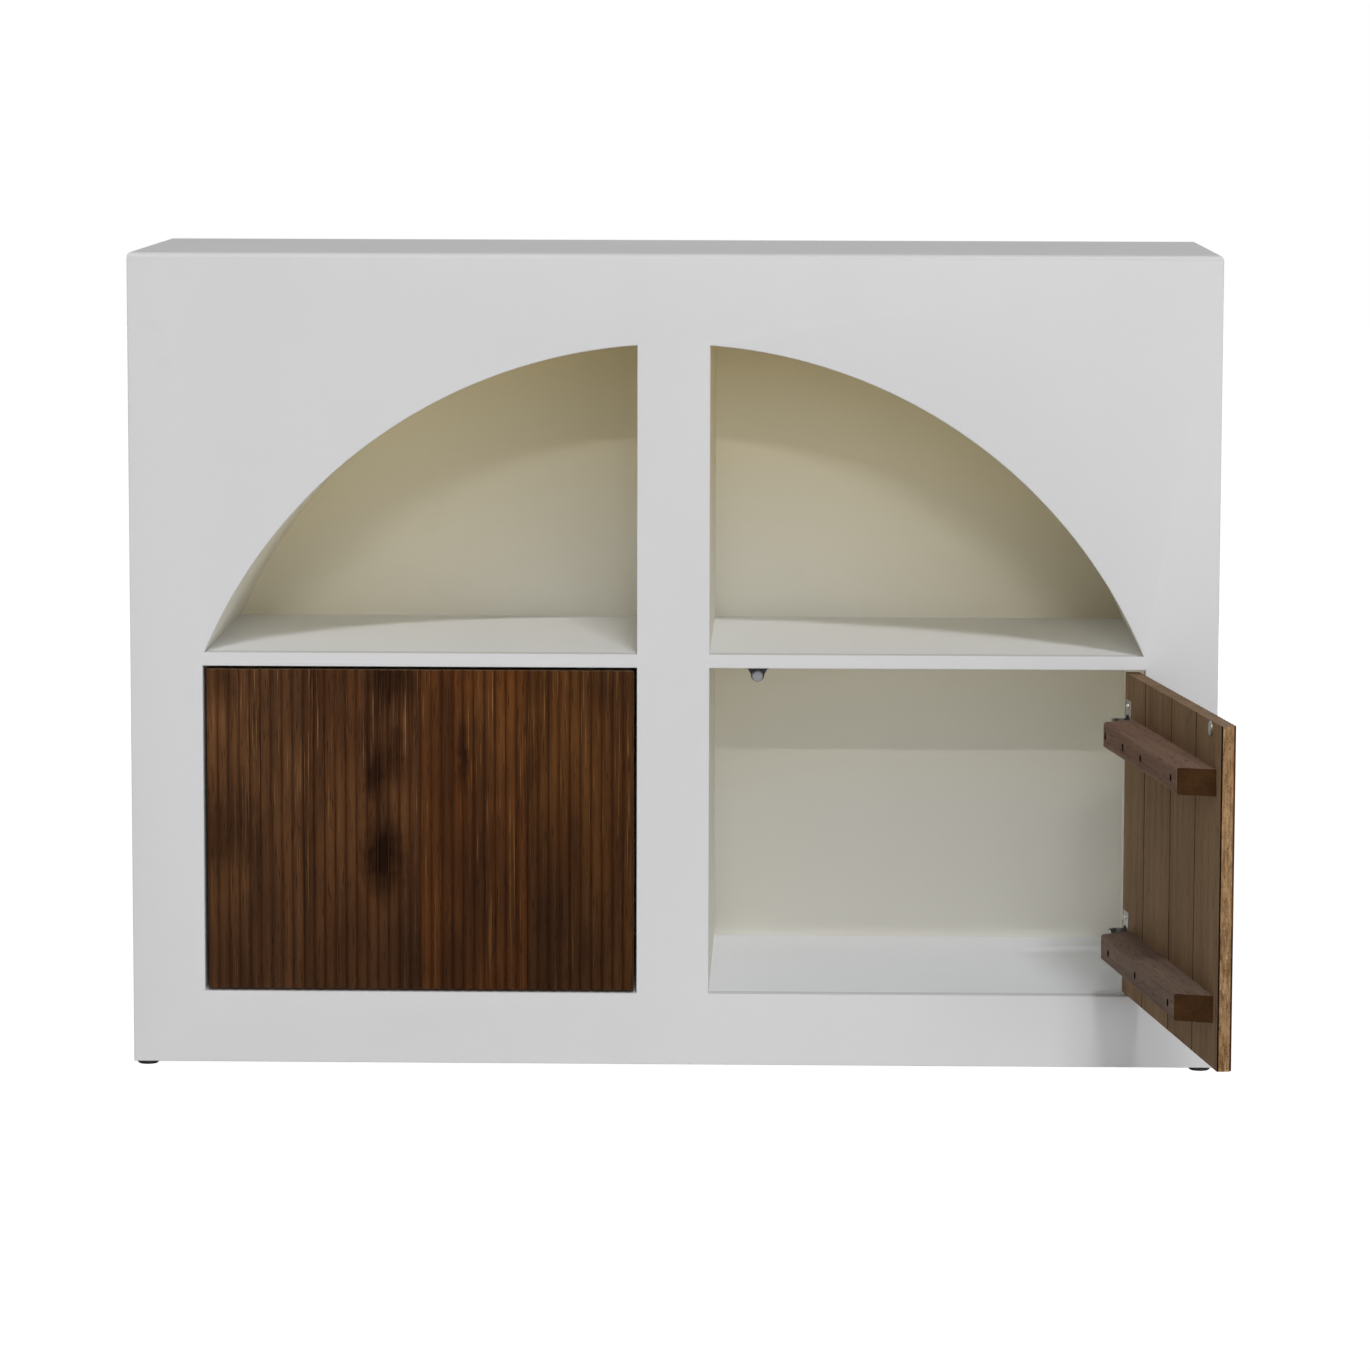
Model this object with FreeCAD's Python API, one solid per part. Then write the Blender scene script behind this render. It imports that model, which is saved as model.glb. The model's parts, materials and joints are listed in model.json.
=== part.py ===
import FreeCAD, Part
import math
import os

from FreeCAD import Vector

# Sideboard with two arched niches over two reeded doors, in millimetres.
# Origin: on the floor under the middle of the carcass. +X right, +Y to the back, +Z up.
# The right door stands open and the left door is closed.

# Carcass
overall_width = 1200.0
overall_depth = 400.0
carcass_height = 900.0
front_thickness = 18.0
side_thickness = 26.0
top_thickness = 18.0
back_thickness = 6.0
floor_thickness = 18.0
wall_thickness = 12.0
lining_thickness = 6.0
corner_round = 6.0
front_edge_round = 2.0

# Openings in the front
stile_width = 80.0
post_width = 80.0
bottom_rail_height = 80.0
door_opening_height = 364.0
shelf_thickness = 15.0
head_height = 99.0
arch_foot_inset = 2.0

# Base
glide_height = 6.0
glide_radius = 12.0
glide_chamfer = 1.5
glide_setback = 24.0
nail_radius = 1.5
nail_length = 14.0
base_rail_thickness = 18.0
bearer_width = 44.0

# Doors
hinge_gap = 3.5
free_gap = 3.5
door_top_gap = 4.0
door_bottom_gap = 3.0
door_recess = 1.0
door_thickness = 16.0
reeds_per_board = (9, 11, 10, 10)
groove_depth = 3.0
groove_width = 1.2
board_vee = 1.4
open_angle = 98.5

# Battens on the inside of a door
batten_height = 28.0
batten_thickness = 38.0
batten_inset = 61.0
batten_cup_gap = 7.0
batten_stop = 22.0
batten_slant = 18.0
batten_ease = 4.0
batten_screw_inset = 12.0
batten_screw_end_inset = 26.0
batten_screw_shares = {"upper": (0.0, 0.28, 0.55, 1.0), "lower": (0.09, 0.51, 1.0)}
counterbore_radius = 4.2
counterbore_depth = 18.0

# Concealed hinges
hinge_inset = 61.0
cup_radius = 17.5
cup_web = 2.0
cup_wall = 1.0
cup_edge = 4.0
flange_width = 24.0
flange_height = 65.0
flange_thickness = 1.2
flange_round = 6.0
flange_screw_inset = 6.5
pivot_from_edge = 9.0
pin_radius = 1.25
pin_clearance = 0.05
lug_gap = 0.4
lug_thickness = 3.0
lug_half_width = 3.0
lug_cover = 1.5
eye_radius = 2.4
eye_half_width = 4.8
eye_floor_gap = 0.6
neck_thickness = 2.5
neck_reach = 14.0
neck_bend = 8.0
neck_rise = 2.0
neck_shoulder = 5.0
arm_half_width = 8.5
arm_wall = 1.6
arm_length = 48.0
arm_offset = 4.0
arm_skirt = 7.5
plate_thickness = 2.0
plate_wing_width = 16.0
plate_wing_reach = 22.0
plate_wing_round = 4.0
plate_screw_offset = 16.0
block_half_width = 6.5
block_setback = 6.0
block_length = 36.0
arm_screw_setback = 20.0

# Push latches
latch_inset = 53.0
latch_drop = 10.0
latch_length = 48.0
latch_width = 25.0
latch_flange = 3.0
latch_web_width = 6.0
latch_face_width = 15.0
latch_face_height = 9.0
latch_face_length = 6.0
latch_setback = 5.0
barrel_wall = 1.3
plunger_radius = 6.0
plunger_length = 40.0
plunger_round = 1.5
plunger_travel = 10.0
plunger_clearance = 0.1
bore_spare = 2.2
strike_radius = 7.5
strike_thickness = 1.5
strike_drop = 2.0
strike_gap = 0.3
latch_screw_inset = 2.9

# Screws
screw_radius = 1.75
screw_head_radius = 3.2
screw_head_height = 1.8
screw_length = 12.0
wall_screw_length = 10.0
batten_screw_radius = 2.0
batten_screw_head_radius = 3.8
batten_screw_head_height = 2.5
batten_screw_bite = 11.0
back_screw_length = 22.0
arm_screw_length = 9.0
fit_clearance = 0.05

# Distance within which a point counts as lying on a plane
near = 0.01

# Planes worked out from the sizes above
half_width = overall_width / 2
front_y = -overall_depth / 2
back_y = overall_depth / 2
panel_y = front_y + front_thickness
inner_back_y = back_y - back_thickness
base_z = glide_height
top_z = base_z + carcass_height
top_under_z = top_z - top_thickness
floor_z = base_z + bottom_rail_height
floor_under_z = floor_z - floor_thickness
shelf_under_z = floor_z + door_opening_height
shelf_z = shelf_under_z + shelf_thickness
side_x = half_width - side_thickness
open_out_x = half_width - stile_width
open_in_x = post_width / 2

# The arch is one circle over both niches, standing on the shelves
arch_rise = top_z - head_height - shelf_z
arch_foot_x = open_out_x - arch_foot_inset
arch_radius = (arch_foot_x ** 2 + arch_rise ** 2) / (2 * arch_rise)
arch_centre_z = shelf_z + arch_rise - arch_radius

# A closed door, on the right
hinge_x = open_out_x - hinge_gap
free_x = open_in_x + free_gap
door_width = hinge_x - free_x
door_bottom_z = floor_z + door_bottom_gap
door_top_z = shelf_under_z - door_top_gap
door_height = door_top_z - door_bottom_z
crest_y = front_y + door_recess
groove_y = crest_y + groove_depth
inner_y = crest_y + door_thickness
reed_pitch = door_width / sum(reeds_per_board)

# The hinge pins' axis on the right, and the heights of the hinges
cup_depth = door_thickness - groove_depth - cup_web
pivot_depth = cup_depth - cup_wall - eye_floor_gap - eye_radius
pivot = Vector(hinge_x - pivot_from_edge, inner_y - pivot_depth, 0)
hinge_heights = {"upper": door_top_z - hinge_inset, "lower": door_bottom_z + hinge_inset}
batten_heights = {"upper": door_top_z - batten_inset, "lower": door_bottom_z + batten_inset}
cup_x = hinge_x - cup_edge - cup_radius
flange_y = inner_y + flange_thickness
flange_screw_offset = flange_height / 2 - flange_screw_inset

# A batten's ends and its first and last screw, on the right
batten_start_x = cup_x - cup_radius - batten_cup_gap
batten_stop_x = free_x + batten_stop
batten_screw_start_x = batten_start_x - batten_slant - batten_screw_inset
batten_screw_stop_x = batten_stop_x + batten_slant + batten_screw_end_inset

# The latch on the right
latch_x = open_in_x + latch_inset
latch_z = shelf_under_z - latch_drop
strike_y = inner_y + strike_thickness
plunger_y = strike_y + strike_gap
housing_y = plunger_y + latch_setback
latch_screw_offset = latch_width / 2 - latch_screw_inset

X = Vector(1, 0, 0)
Y = Vector(0, 1, 0)
Z = Vector(0, 0, 1)
ORIGIN = Vector(0, 0, 0)

nodes = {}


def box(x0, x1, y0, y1, z0, z1):
    return Part.makeBox(x1 - x0, y1 - y0, z1 - z0, Vector(x0, y0, z0))


def rod(radius, start, direction, length):
    return Part.makeCylinder(radius, length, start, direction)


def face_of(edges):
    return Part.Face(Part.Wire(Part.__sortEdges__(edges)))


def polygon(points):
    return Part.Face(Part.makePolygon(points + points[:1]))


def line(a, b):
    return Part.makeLine(a, b)


def arc(a, middle, b):
    return Part.Arc(a, middle, b).toShape()


def mirrored(shape):
    return shape.mirror(ORIGIN, X)


def opened(shape):
    turned = shape.copy()
    turned.rotate(pivot, Z, open_angle)
    return turned


def group(solids):
    return Part.makeCompound(solids)


def drilled(shape, tools):
    return shape.cut(tools)


def edges_on(shape, test):
    return [e for e in shape.Edges if all(test(v.Point) for v in e.Vertexes)]


def edges_along(shape, direction):
    return [e for e in shape.Edges if abs(e.tangentAt(e.FirstParameter).dot(direction)) > 1 - near]


# A pan-head screw whose head sits on the seat, with its shank along the direction
def pan_screw(
        seat, direction, length, radius=screw_radius, head=screw_head_radius, height=screw_head_height):
    up = direction * -1
    skirt = rod(head, seat, up, height / 2)
    crown = Part.makeCone(head, head - height / 2, height / 2, seat + up * (height / 2), up)
    return skirt.fuse([crown, rod(radius, seat, direction, length)]).removeSplitter()


def pilot(seat, direction, length, radius=screw_radius):
    return rod(radius + fit_clearance, seat, direction, length + fit_clearance)


# A countersunk screw whose head lies flush with the seat
def flush_screw(seat, direction, length, radius=screw_radius, head=screw_head_radius, spare=0.0):
    cone = Part.makeCone(head + spare, radius + spare, head - radius, seat, direction)
    return cone.fuse(rod(radius + spare, seat, direction, length + spare)).removeSplitter()


# Carcass

def arch_height(x, radius):
    return arch_centre_z + math.sqrt(radius ** 2 - x ** 2)


def arch_point(angle, radius, y):
    return Vector(radius * math.sin(angle), y, arch_centre_z + radius * math.cos(angle))


# Edges of the arch's right half at one radius, from the post to the shelf
def arch_edge(radius, y):
    start = math.asin(open_in_x / radius)
    stop = math.acos((shelf_z - arch_centre_z) / radius)
    middle = (start + stop) / 2
    return arc(*[arch_point(angle, radius, y) for angle in (start, middle, stop)])


def niche_face(y):
    curve = arch_edge(arch_radius, y)
    post_top = Vector(open_in_x, y, arch_height(open_in_x, arch_radius))
    post_foot = Vector(open_in_x, y, shelf_z)
    arch_foot = Vector(arch_foot_x, y, shelf_z)
    return face_of([curve, line(arch_foot, post_foot), line(post_foot, post_top)])


def front_panel():
    panel = box(-half_width, half_width, front_y, panel_y, base_z, top_z)
    corners = edges_on(panel, lambda p: abs(p.x) > half_width - near and p.z > top_z - near)
    panel = panel.makeFillet(corner_round, corners)
    rim = edges_on(panel, lambda p: p.y < front_y + near)
    panel = panel.makeFillet(front_edge_round, rim)
    niche = niche_face(front_y).extrude(Y * front_thickness)
    door = box(open_in_x, open_out_x, front_y, panel_y, floor_z, shelf_under_z)
    return drilled(panel, [niche, mirrored(niche), door, mirrored(door)])


def top_panel():
    panel = box(-half_width, half_width, panel_y, back_y, top_under_z, top_z)
    corners = edges_on(panel, lambda p: abs(p.x) > half_width - near and p.z > top_z - near)
    return panel.makeFillet(corner_round, corners)


def arch_lining():
    inside = arch_edge(arch_radius, panel_y)
    outer_radius = arch_radius + lining_thickness
    outside = arch_edge(outer_radius, panel_y)
    foot = line(inside.Vertexes[-1].Point, outside.Vertexes[-1].Point)
    crown = line(inside.Vertexes[0].Point, outside.Vertexes[0].Point)
    return face_of([inside, outside, foot, crown]).extrude(Y * (inner_back_y - panel_y))


def glide(place):
    disc = rod(glide_radius, place, Z, glide_height)
    rim = edges_on(disc, lambda p: p.z < near)
    disc = disc.makeChamfer(glide_chamfer, rim)
    return disc.fuse(rod(nail_radius, place + Z * glide_height, Z, nail_length)).removeSplitter()


def build_carcass():
    side_glide_x = half_width - side_thickness / 2
    glide_y = overall_depth / 2 - glide_setback
    places = [Vector(sx * side_glide_x, sy * glide_y, 0) for sx in (-1, 1) for sy in (-1, 1)] + [ORIGIN]
    nodes["glide_feet"] = group([glide(p) for p in places])
    nails = [pilot(p + Z * glide_height, Z, nail_length, nail_radius) for p in places]

    nodes["front_panel"] = front_panel()
    top = top_panel()
    side = box(side_x, half_width, panel_y, back_y, base_z, top_under_z)
    back = box(-side_x, side_x, inner_back_y, back_y, base_z, top_under_z)
    floor = box(-side_x, side_x, panel_y, inner_back_y, floor_under_z, floor_z)
    shelf = box(open_in_x, side_x, panel_y, inner_back_y, shelf_under_z, shelf_z)
    cheek = box(open_in_x - wall_thickness, open_in_x, panel_y, inner_back_y, floor_z, top_under_z)
    wall = box(open_out_x, open_out_x + wall_thickness, panel_y, inner_back_y, floor_z, shelf_under_z)
    rail_y = inner_back_y - base_rail_thickness
    rail = box(-side_x, side_x, rail_y, inner_back_y, base_z, floor_under_z)
    bearer = box(-bearer_width / 2, bearer_width / 2, panel_y, rail_y, base_z, floor_under_z)

    # Screws through the back panel into the floor, the base rail, the shelves and the cheeks
    bay_x = (open_in_x + side_x) / 2
    cheek_x = open_in_x - wall_thickness / 2
    rows = [
        (floor_z - floor_thickness / 2, (bay_x, open_out_x)),
        ((base_z + floor_under_z) / 2, (bay_x,)),
        (shelf_z - shelf_thickness / 2, (bay_x, open_out_x)),
        ((shelf_z + top_under_z) / 2, (cheek_x,)),
    ]
    seats = [Vector(side * x, back_y, z) for z, row in rows for x in row for side in (-1, 1)]
    nodes["back_panel_screws"] = group([flush_screw(s, Y * -1, back_screw_length) for s in seats])
    holes = [flush_screw(s, Y * -1, back_screw_length, spare=fit_clearance) for s in seats]

    nodes["top_panel"] = top
    nodes["right_side_panel"] = drilled(side, nails)
    nodes["left_side_panel"] = drilled(mirrored(side), nails)
    nodes["back_panel"] = drilled(back, holes)
    nodes["floor_panel"] = drilled(floor, holes)
    nodes["rear_base_rail"] = drilled(rail, holes)
    nodes["centre_bearer"] = drilled(bearer, nails)
    nodes["right_arch_lining"] = arch_lining()
    nodes["left_arch_lining"] = mirrored(arch_lining())
    for name, shape in (("shelf", shelf), ("post_cheek", cheek), ("inner_wall", wall)):
        nodes["right_" + name] = drilled(shape, holes)
        nodes["left_" + name] = drilled(mirrored(shape), holes)


# Doors, made closed on the right

# One board's plan: inside it is flat with broken corners, so two boards meet in a V;
# outside it is a row of round reeds with narrow grooves
def board_face(first_reed, count):
    def at(reed, y):
        return Vector(hinge_x - reed * reed_pitch, y, door_bottom_z)

    half_groove = X * (groove_width / 2)
    last_reed = first_reed + count
    vee_y = inner_y - board_vee
    flat_start = at(first_reed, inner_y) - X * board_vee
    flat_stop = at(last_reed, inner_y) + X * board_vee
    edges = [
        line(at(first_reed, groove_y), at(first_reed, vee_y)),
        line(at(first_reed, vee_y), flat_start),
        line(flat_start, flat_stop),
        line(flat_stop, at(last_reed, vee_y)),
        line(at(last_reed, vee_y), at(last_reed, groove_y)),
    ]
    for reed in range(first_reed, last_reed):
        start = at(reed, groove_y) - half_groove
        stop = at(reed + 1, groove_y) + half_groove
        edges.append(line(at(reed, groove_y), start))
        edges.append(arc(start, at(reed + 0.5, crest_y), stop))
        edges.append(line(stop, at(reed + 1, groove_y)))
    return face_of(edges)


def batten(height):
    low = height - batten_height / 2
    front = inner_y + batten_thickness
    plan = polygon([
        Vector(batten_start_x, inner_y, low),
        Vector(batten_start_x - batten_slant, front, low),
        Vector(batten_stop_x + batten_slant, front, low),
        Vector(batten_stop_x, inner_y, low),
    ])
    body = plan.extrude(Z * batten_height)
    rim = edges_on(body, lambda p: p.y > front - near)
    return body.makeFillet(batten_ease, rim)


def batten_screw_seat(share, height):
    x = batten_screw_start_x + share * (batten_screw_stop_x - batten_screw_start_x)
    return Vector(x, inner_y + batten_thickness - counterbore_depth, height)


def batten_screws(level, height):
    length = batten_thickness - counterbore_depth + batten_screw_bite
    seats = [batten_screw_seat(share, height) for share in batten_screw_shares[level]]
    sizes = (length, batten_screw_radius, batten_screw_head_radius, batten_screw_head_height)
    screws = [pan_screw(s, Y * -1, *sizes) for s in seats]
    holes = [pilot(s, Y * -1, length, batten_screw_radius) for s in seats]
    bores = [rod(counterbore_radius, s, Y, counterbore_depth) for s in seats]
    return screws, holes, bores


# Hinge cup: a round pot let into the door, with a flange on the door's inner face
def hinge_cup(height):
    middle = Vector(cup_x, inner_y, height)
    pot = rod(cup_radius, middle - Y * cup_depth, Y, cup_depth + flange_thickness)
    flange = box(
        cup_x - flange_width / 2, cup_x + flange_width / 2, inner_y, flange_y,
        height - flange_height / 2, height + flange_height / 2)
    flange = flange.makeFillet(flange_round, edges_along(flange, Y))
    hollow_depth = cup_depth - cup_wall + flange_thickness
    hollow = rod(cup_radius - cup_wall, middle - Y * (cup_depth - cup_wall), Y, hollow_depth)
    holes = [pilot(s, Y * -1, flange_thickness) for s in flange_seats(height)]
    pin_hole = rod(pin_radius + fit_clearance, pin_start(height), Z, pin_length())
    shell = pot.fuse(flange).removeSplitter().cut([hollow] + holes)
    return shell.fuse(pin_lugs(height)).removeSplitter().cut(pin_hole)


# Two lugs on the cup's floor and wall that carry the ends of the pin
def pin_lugs(height):
    room = rod(cup_radius - cup_wall / 2, Vector(cup_x, inner_y - cup_depth, height), Y, cup_depth)
    lugs = []
    for side in (-1, 1):
        inside = height + side * (eye_half_width + lug_gap)
        outside = inside + side * lug_thickness
        lug = box(
            pivot.x - lug_half_width, pivot.x + lug_half_width,
            inner_y - cup_depth + cup_wall / 2, pivot.y + pin_radius + lug_cover,
            min(inside, outside), max(inside, outside))
        lugs.append(lug.common(room))
    return lugs


def flange_seats(height):
    return [Vector(cup_x, flange_y, height + side * flange_screw_offset) for side in (-1, 1)]


# The pin runs through the eye and both lugs
def pin_half_length():
    return eye_half_width + lug_gap + lug_thickness


def pin_length():
    return 2 * pin_half_length()


def pin_start(height):
    return pivot + Z * (height - pin_half_length())


# Cranked arm: an eye on the pin, a neck bent round the door's edge and a channel along the wall
def hinge_arm(height):
    half = neck_thickness / 2

    def strip(x0, x1, y0, y1, half_width_z):
        return box(
            pivot.x + x0, pivot.x + x1, pivot.y + y0, pivot.y + y1,
            height - half_width_z, height + half_width_z)

    def bend(x, y, radius, quarter, half_width_z):
        centre = Vector(pivot.x + x, pivot.y + y, height - half_width_z)
        outside = Part.makeCylinder(radius + half, 2 * half_width_z, centre, Z, 90)
        inside = Part.makeCylinder(radius - half, 2 * half_width_z, centre, Z, 90)
        ring = outside.cut(inside)
        ring.rotate(centre, Z, quarter * 90)
        return ring

    return_y = 2 * neck_bend + neck_rise
    left_x = -neck_reach - neck_bend
    web_start = return_y + neck_shoulder
    skirt_x = -arm_offset + half + arm_skirt
    eye = rod(eye_radius, pivot + Z * (height - eye_half_width), Z, 2 * eye_half_width)
    pieces = [
        eye,
        strip(-neck_reach, 0, -half, half, eye_half_width),
        bend(-neck_reach, neck_bend, neck_bend, 2, eye_half_width),
        strip(left_x - half, left_x + half, neck_bend, neck_bend + neck_rise, eye_half_width),
        bend(-neck_reach, neck_bend + neck_rise, neck_bend, 1, arm_half_width),
        strip(-neck_reach, -arm_offset - neck_shoulder, return_y - half, return_y + half, arm_half_width),
        bend(-arm_offset - neck_shoulder, web_start, neck_shoulder, 3, arm_half_width),
        strip(-arm_offset - half, -arm_offset + half, web_start, web_start + arm_length, arm_half_width),
    ]
    for side in (-1, 1):
        middle = height + side * (arm_half_width - arm_wall / 2)
        pieces.append(box(
            pivot.x - arm_offset + half, pivot.x + skirt_x,
            pivot.y + web_start, pivot.y + web_start + arm_length,
            middle - arm_wall / 2, middle + arm_wall / 2))
    body = pieces[0].fuse(pieces[1:]).removeSplitter()
    bore = rod(pin_radius + pin_clearance, pivot + Z * (height - arm_half_width), Z, 2 * arm_half_width)
    return body.cut([bore, arm_screw_hole(height)])


def arm_web_y():
    return pivot.y + 2 * neck_bend + neck_rise + neck_shoulder


def arm_screw_seat(height):
    return Vector(pivot.x - arm_offset - neck_thickness / 2, arm_web_y() + arm_screw_setback, height)


def arm_screw_hole(height):
    return pilot(arm_screw_seat(height), X, arm_screw_length)


# Mounting plate: wings screwed to the cupboard wall and a block inside the arm's channel
def hinge_plate(height):
    block_x = pivot.x - arm_offset + neck_thickness / 2
    block_y = arm_web_y() + block_setback
    wing_y = block_y + block_length / 2
    plate_x = open_out_x - plate_thickness
    block = box(
        block_x, open_out_x, block_y, block_y + block_length,
        height - block_half_width, height + block_half_width)
    wings = box(
        plate_x, open_out_x, wing_y - plate_wing_width / 2, wing_y + plate_wing_width / 2,
        height - plate_wing_reach, height + plate_wing_reach)
    wings = wings.makeFillet(plate_wing_round, edges_along(wings, X))
    holes = [pilot(s, X, plate_thickness) for s in plate_seats(height)]
    return block.fuse(wings).removeSplitter().cut([arm_screw_hole(height)] + holes)


def plate_seats(height):
    wing_y = arm_web_y() + block_setback + block_length / 2
    plate_x = open_out_x - plate_thickness
    return [Vector(plate_x, wing_y, height + side * plate_screw_offset) for side in (-1, 1)]


def strike_seat():
    return Vector(latch_x, strike_y, latch_z - strike_drop)


def build_doors():
    board_solids = []
    first_reed = 0
    for count in reeds_per_board:
        board_solids.append(board_face(first_reed, count).extrude(Z * door_height))
        first_reed += count

    door_nodes = {}
    door_holes = []
    screws = []
    for level, height in batten_heights.items():
        some_screws, holes, bores = batten_screws(level, height)
        screws.extend(some_screws)
        door_holes.extend(holes)
        door_nodes[level + "_batten"] = drilled(batten(height), holes + bores)
    door_nodes["batten_screws"] = group(screws)

    fitting_screws = [flush_screw(strike_seat(), Y * -1, screw_length)]
    strike_hole = flush_screw(strike_seat(), Y * -1, screw_length, spare=fit_clearance)
    door_holes.append(strike_hole)
    strike = rod(strike_radius, strike_seat() - Y * strike_thickness, Y, strike_thickness)
    door_nodes["strike_disc"] = drilled(strike, [strike_hole])

    pins = []
    for level, height in hinge_heights.items():
        door_nodes[level + "_hinge_cup"] = hinge_cup(height)
        pins.append(rod(pin_radius, pin_start(height), Z, pin_length()))
        seat = Vector(cup_x, inner_y - cup_depth - fit_clearance, height)
        door_holes.append(rod(cup_radius + fit_clearance, seat, Y, door_thickness))
        for flange_seat in flange_seats(height):
            fitting_screws.append(pan_screw(flange_seat, Y * -1, screw_length))
            door_holes.append(pilot(flange_seat, Y * -1, screw_length))
    door_nodes["hinge_pins"] = group(pins)
    door_nodes["door_fitting_screws"] = group(fitting_screws)

    for number, solid in enumerate(board_solids, start=1):
        door_nodes["door_board_%d" % number] = drilled(solid, door_holes)

    for name, shape in door_nodes.items():
        nodes["left_" + name] = mirrored(shape)
        nodes["right_" + name] = opened(shape)


# What the hinges and latches leave on the carcass

def latch_housing():
    flange = box(
        latch_x - latch_width / 2, latch_x + latch_width / 2, housing_y, housing_y + latch_length,
        shelf_under_z - latch_flange, shelf_under_z)
    face = polygon([
        Vector(latch_x - latch_width / 2, housing_y, shelf_under_z),
        Vector(latch_x + latch_width / 2, housing_y, shelf_under_z),
        Vector(latch_x + latch_face_width / 2, housing_y, shelf_under_z - latch_face_height),
        Vector(latch_x - latch_face_width / 2, housing_y, shelf_under_z - latch_face_height),
    ]).extrude(Y * latch_face_length)
    axis = Vector(latch_x, housing_y, latch_z)
    barrel_radius = plunger_radius + plunger_clearance + barrel_wall
    barrel = rod(barrel_radius, axis, Y, latch_length)
    web = box(
        latch_x - latch_web_width / 2, latch_x + latch_web_width / 2, housing_y, housing_y + latch_length,
        latch_z, shelf_under_z)
    bore_depth = plunger_length - latch_setback + bore_spare
    bore = rod(plunger_radius + plunger_clearance, axis, Y, bore_depth)
    holes = [pilot(s, Z, latch_flange) for s in latch_screw_seats()]
    return flange.fuse([face, barrel, web]).removeSplitter().cut([bore] + holes)


def latch_screw_seats():
    middle = housing_y + latch_length / 2
    low = shelf_under_z - latch_flange
    return [Vector(latch_x + side * latch_screw_offset, middle, low) for side in (-1, 1)]


# The plunger pushed in, as it is behind a closed door
def latch_plunger():
    body = rod(plunger_radius, Vector(latch_x, plunger_y, latch_z), Y, plunger_length)
    rim = edges_on(body, lambda p: p.y < plunger_y + near)
    return body.makeFillet(plunger_round, rim)


def build_fittings():
    plate_screws = []
    wall_holes = []
    arm_screws = []
    for level, height in hinge_heights.items():
        arm = hinge_arm(height)
        plate = hinge_plate(height)
        nodes["right_%s_hinge_arm" % level] = arm
        nodes["left_%s_hinge_arm" % level] = mirrored(arm)
        nodes["right_%s_hinge_plate" % level] = plate
        nodes["left_%s_hinge_plate" % level] = mirrored(plate)
        arm_screws.append(pan_screw(arm_screw_seat(height), X, arm_screw_length))
        for seat in plate_seats(height):
            plate_screws.append(pan_screw(seat, X, wall_screw_length))
            wall_holes.append(pilot(seat, X, wall_screw_length))
    nodes["hinge_arm_screws"] = group(arm_screws + [mirrored(s) for s in arm_screws])
    nodes["right_hinge_plate_screws"] = group(plate_screws)
    nodes["left_hinge_plate_screws"] = group([mirrored(s) for s in plate_screws])
    nodes["right_inner_wall"] = drilled(nodes["right_inner_wall"], wall_holes)
    nodes["left_inner_wall"] = drilled(nodes["left_inner_wall"], [mirrored(h) for h in wall_holes])

    latch_screws = [pan_screw(s, Z, wall_screw_length) for s in latch_screw_seats()]
    shelf_holes = [pilot(s, Z, wall_screw_length) for s in latch_screw_seats()]
    nodes["latch_screws"] = group(latch_screws + [mirrored(s) for s in latch_screws])
    nodes["right_shelf"] = drilled(nodes["right_shelf"], shelf_holes)
    nodes["left_shelf"] = drilled(nodes["left_shelf"], [mirrored(h) for h in shelf_holes])
    nodes["right_latch_housing"] = latch_housing()
    nodes["left_latch_housing"] = mirrored(latch_housing())
    nodes["left_latch_plunger"] = mirrored(latch_plunger())
    sprung = latch_plunger()
    sprung.translate(Y * -plunger_travel)
    nodes["right_latch_plunger"] = sprung


build_carcass()
build_doors()
build_fittings()

os.makedirs("parts", exist_ok=True)
for name, shape in nodes.items():
    shape.exportStep("parts/%s.step" % name)
print("%d nodes" % len(nodes))
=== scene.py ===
# %% [markdown]
# # A white sideboard with arched niches and reeded doors
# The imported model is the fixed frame: every panel, board and fitting is already in its place, in metres.
# This lesson dresses it. Plain panels keep their solids and get a finish. The front, the niche linings,
# the doors, the battens, the hinge cups and the screws are modelled again with softer and finer forms.

# %% Load the frame
import json
import math

import bmesh
import bpy
from mathutils import Matrix, Vector


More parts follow.
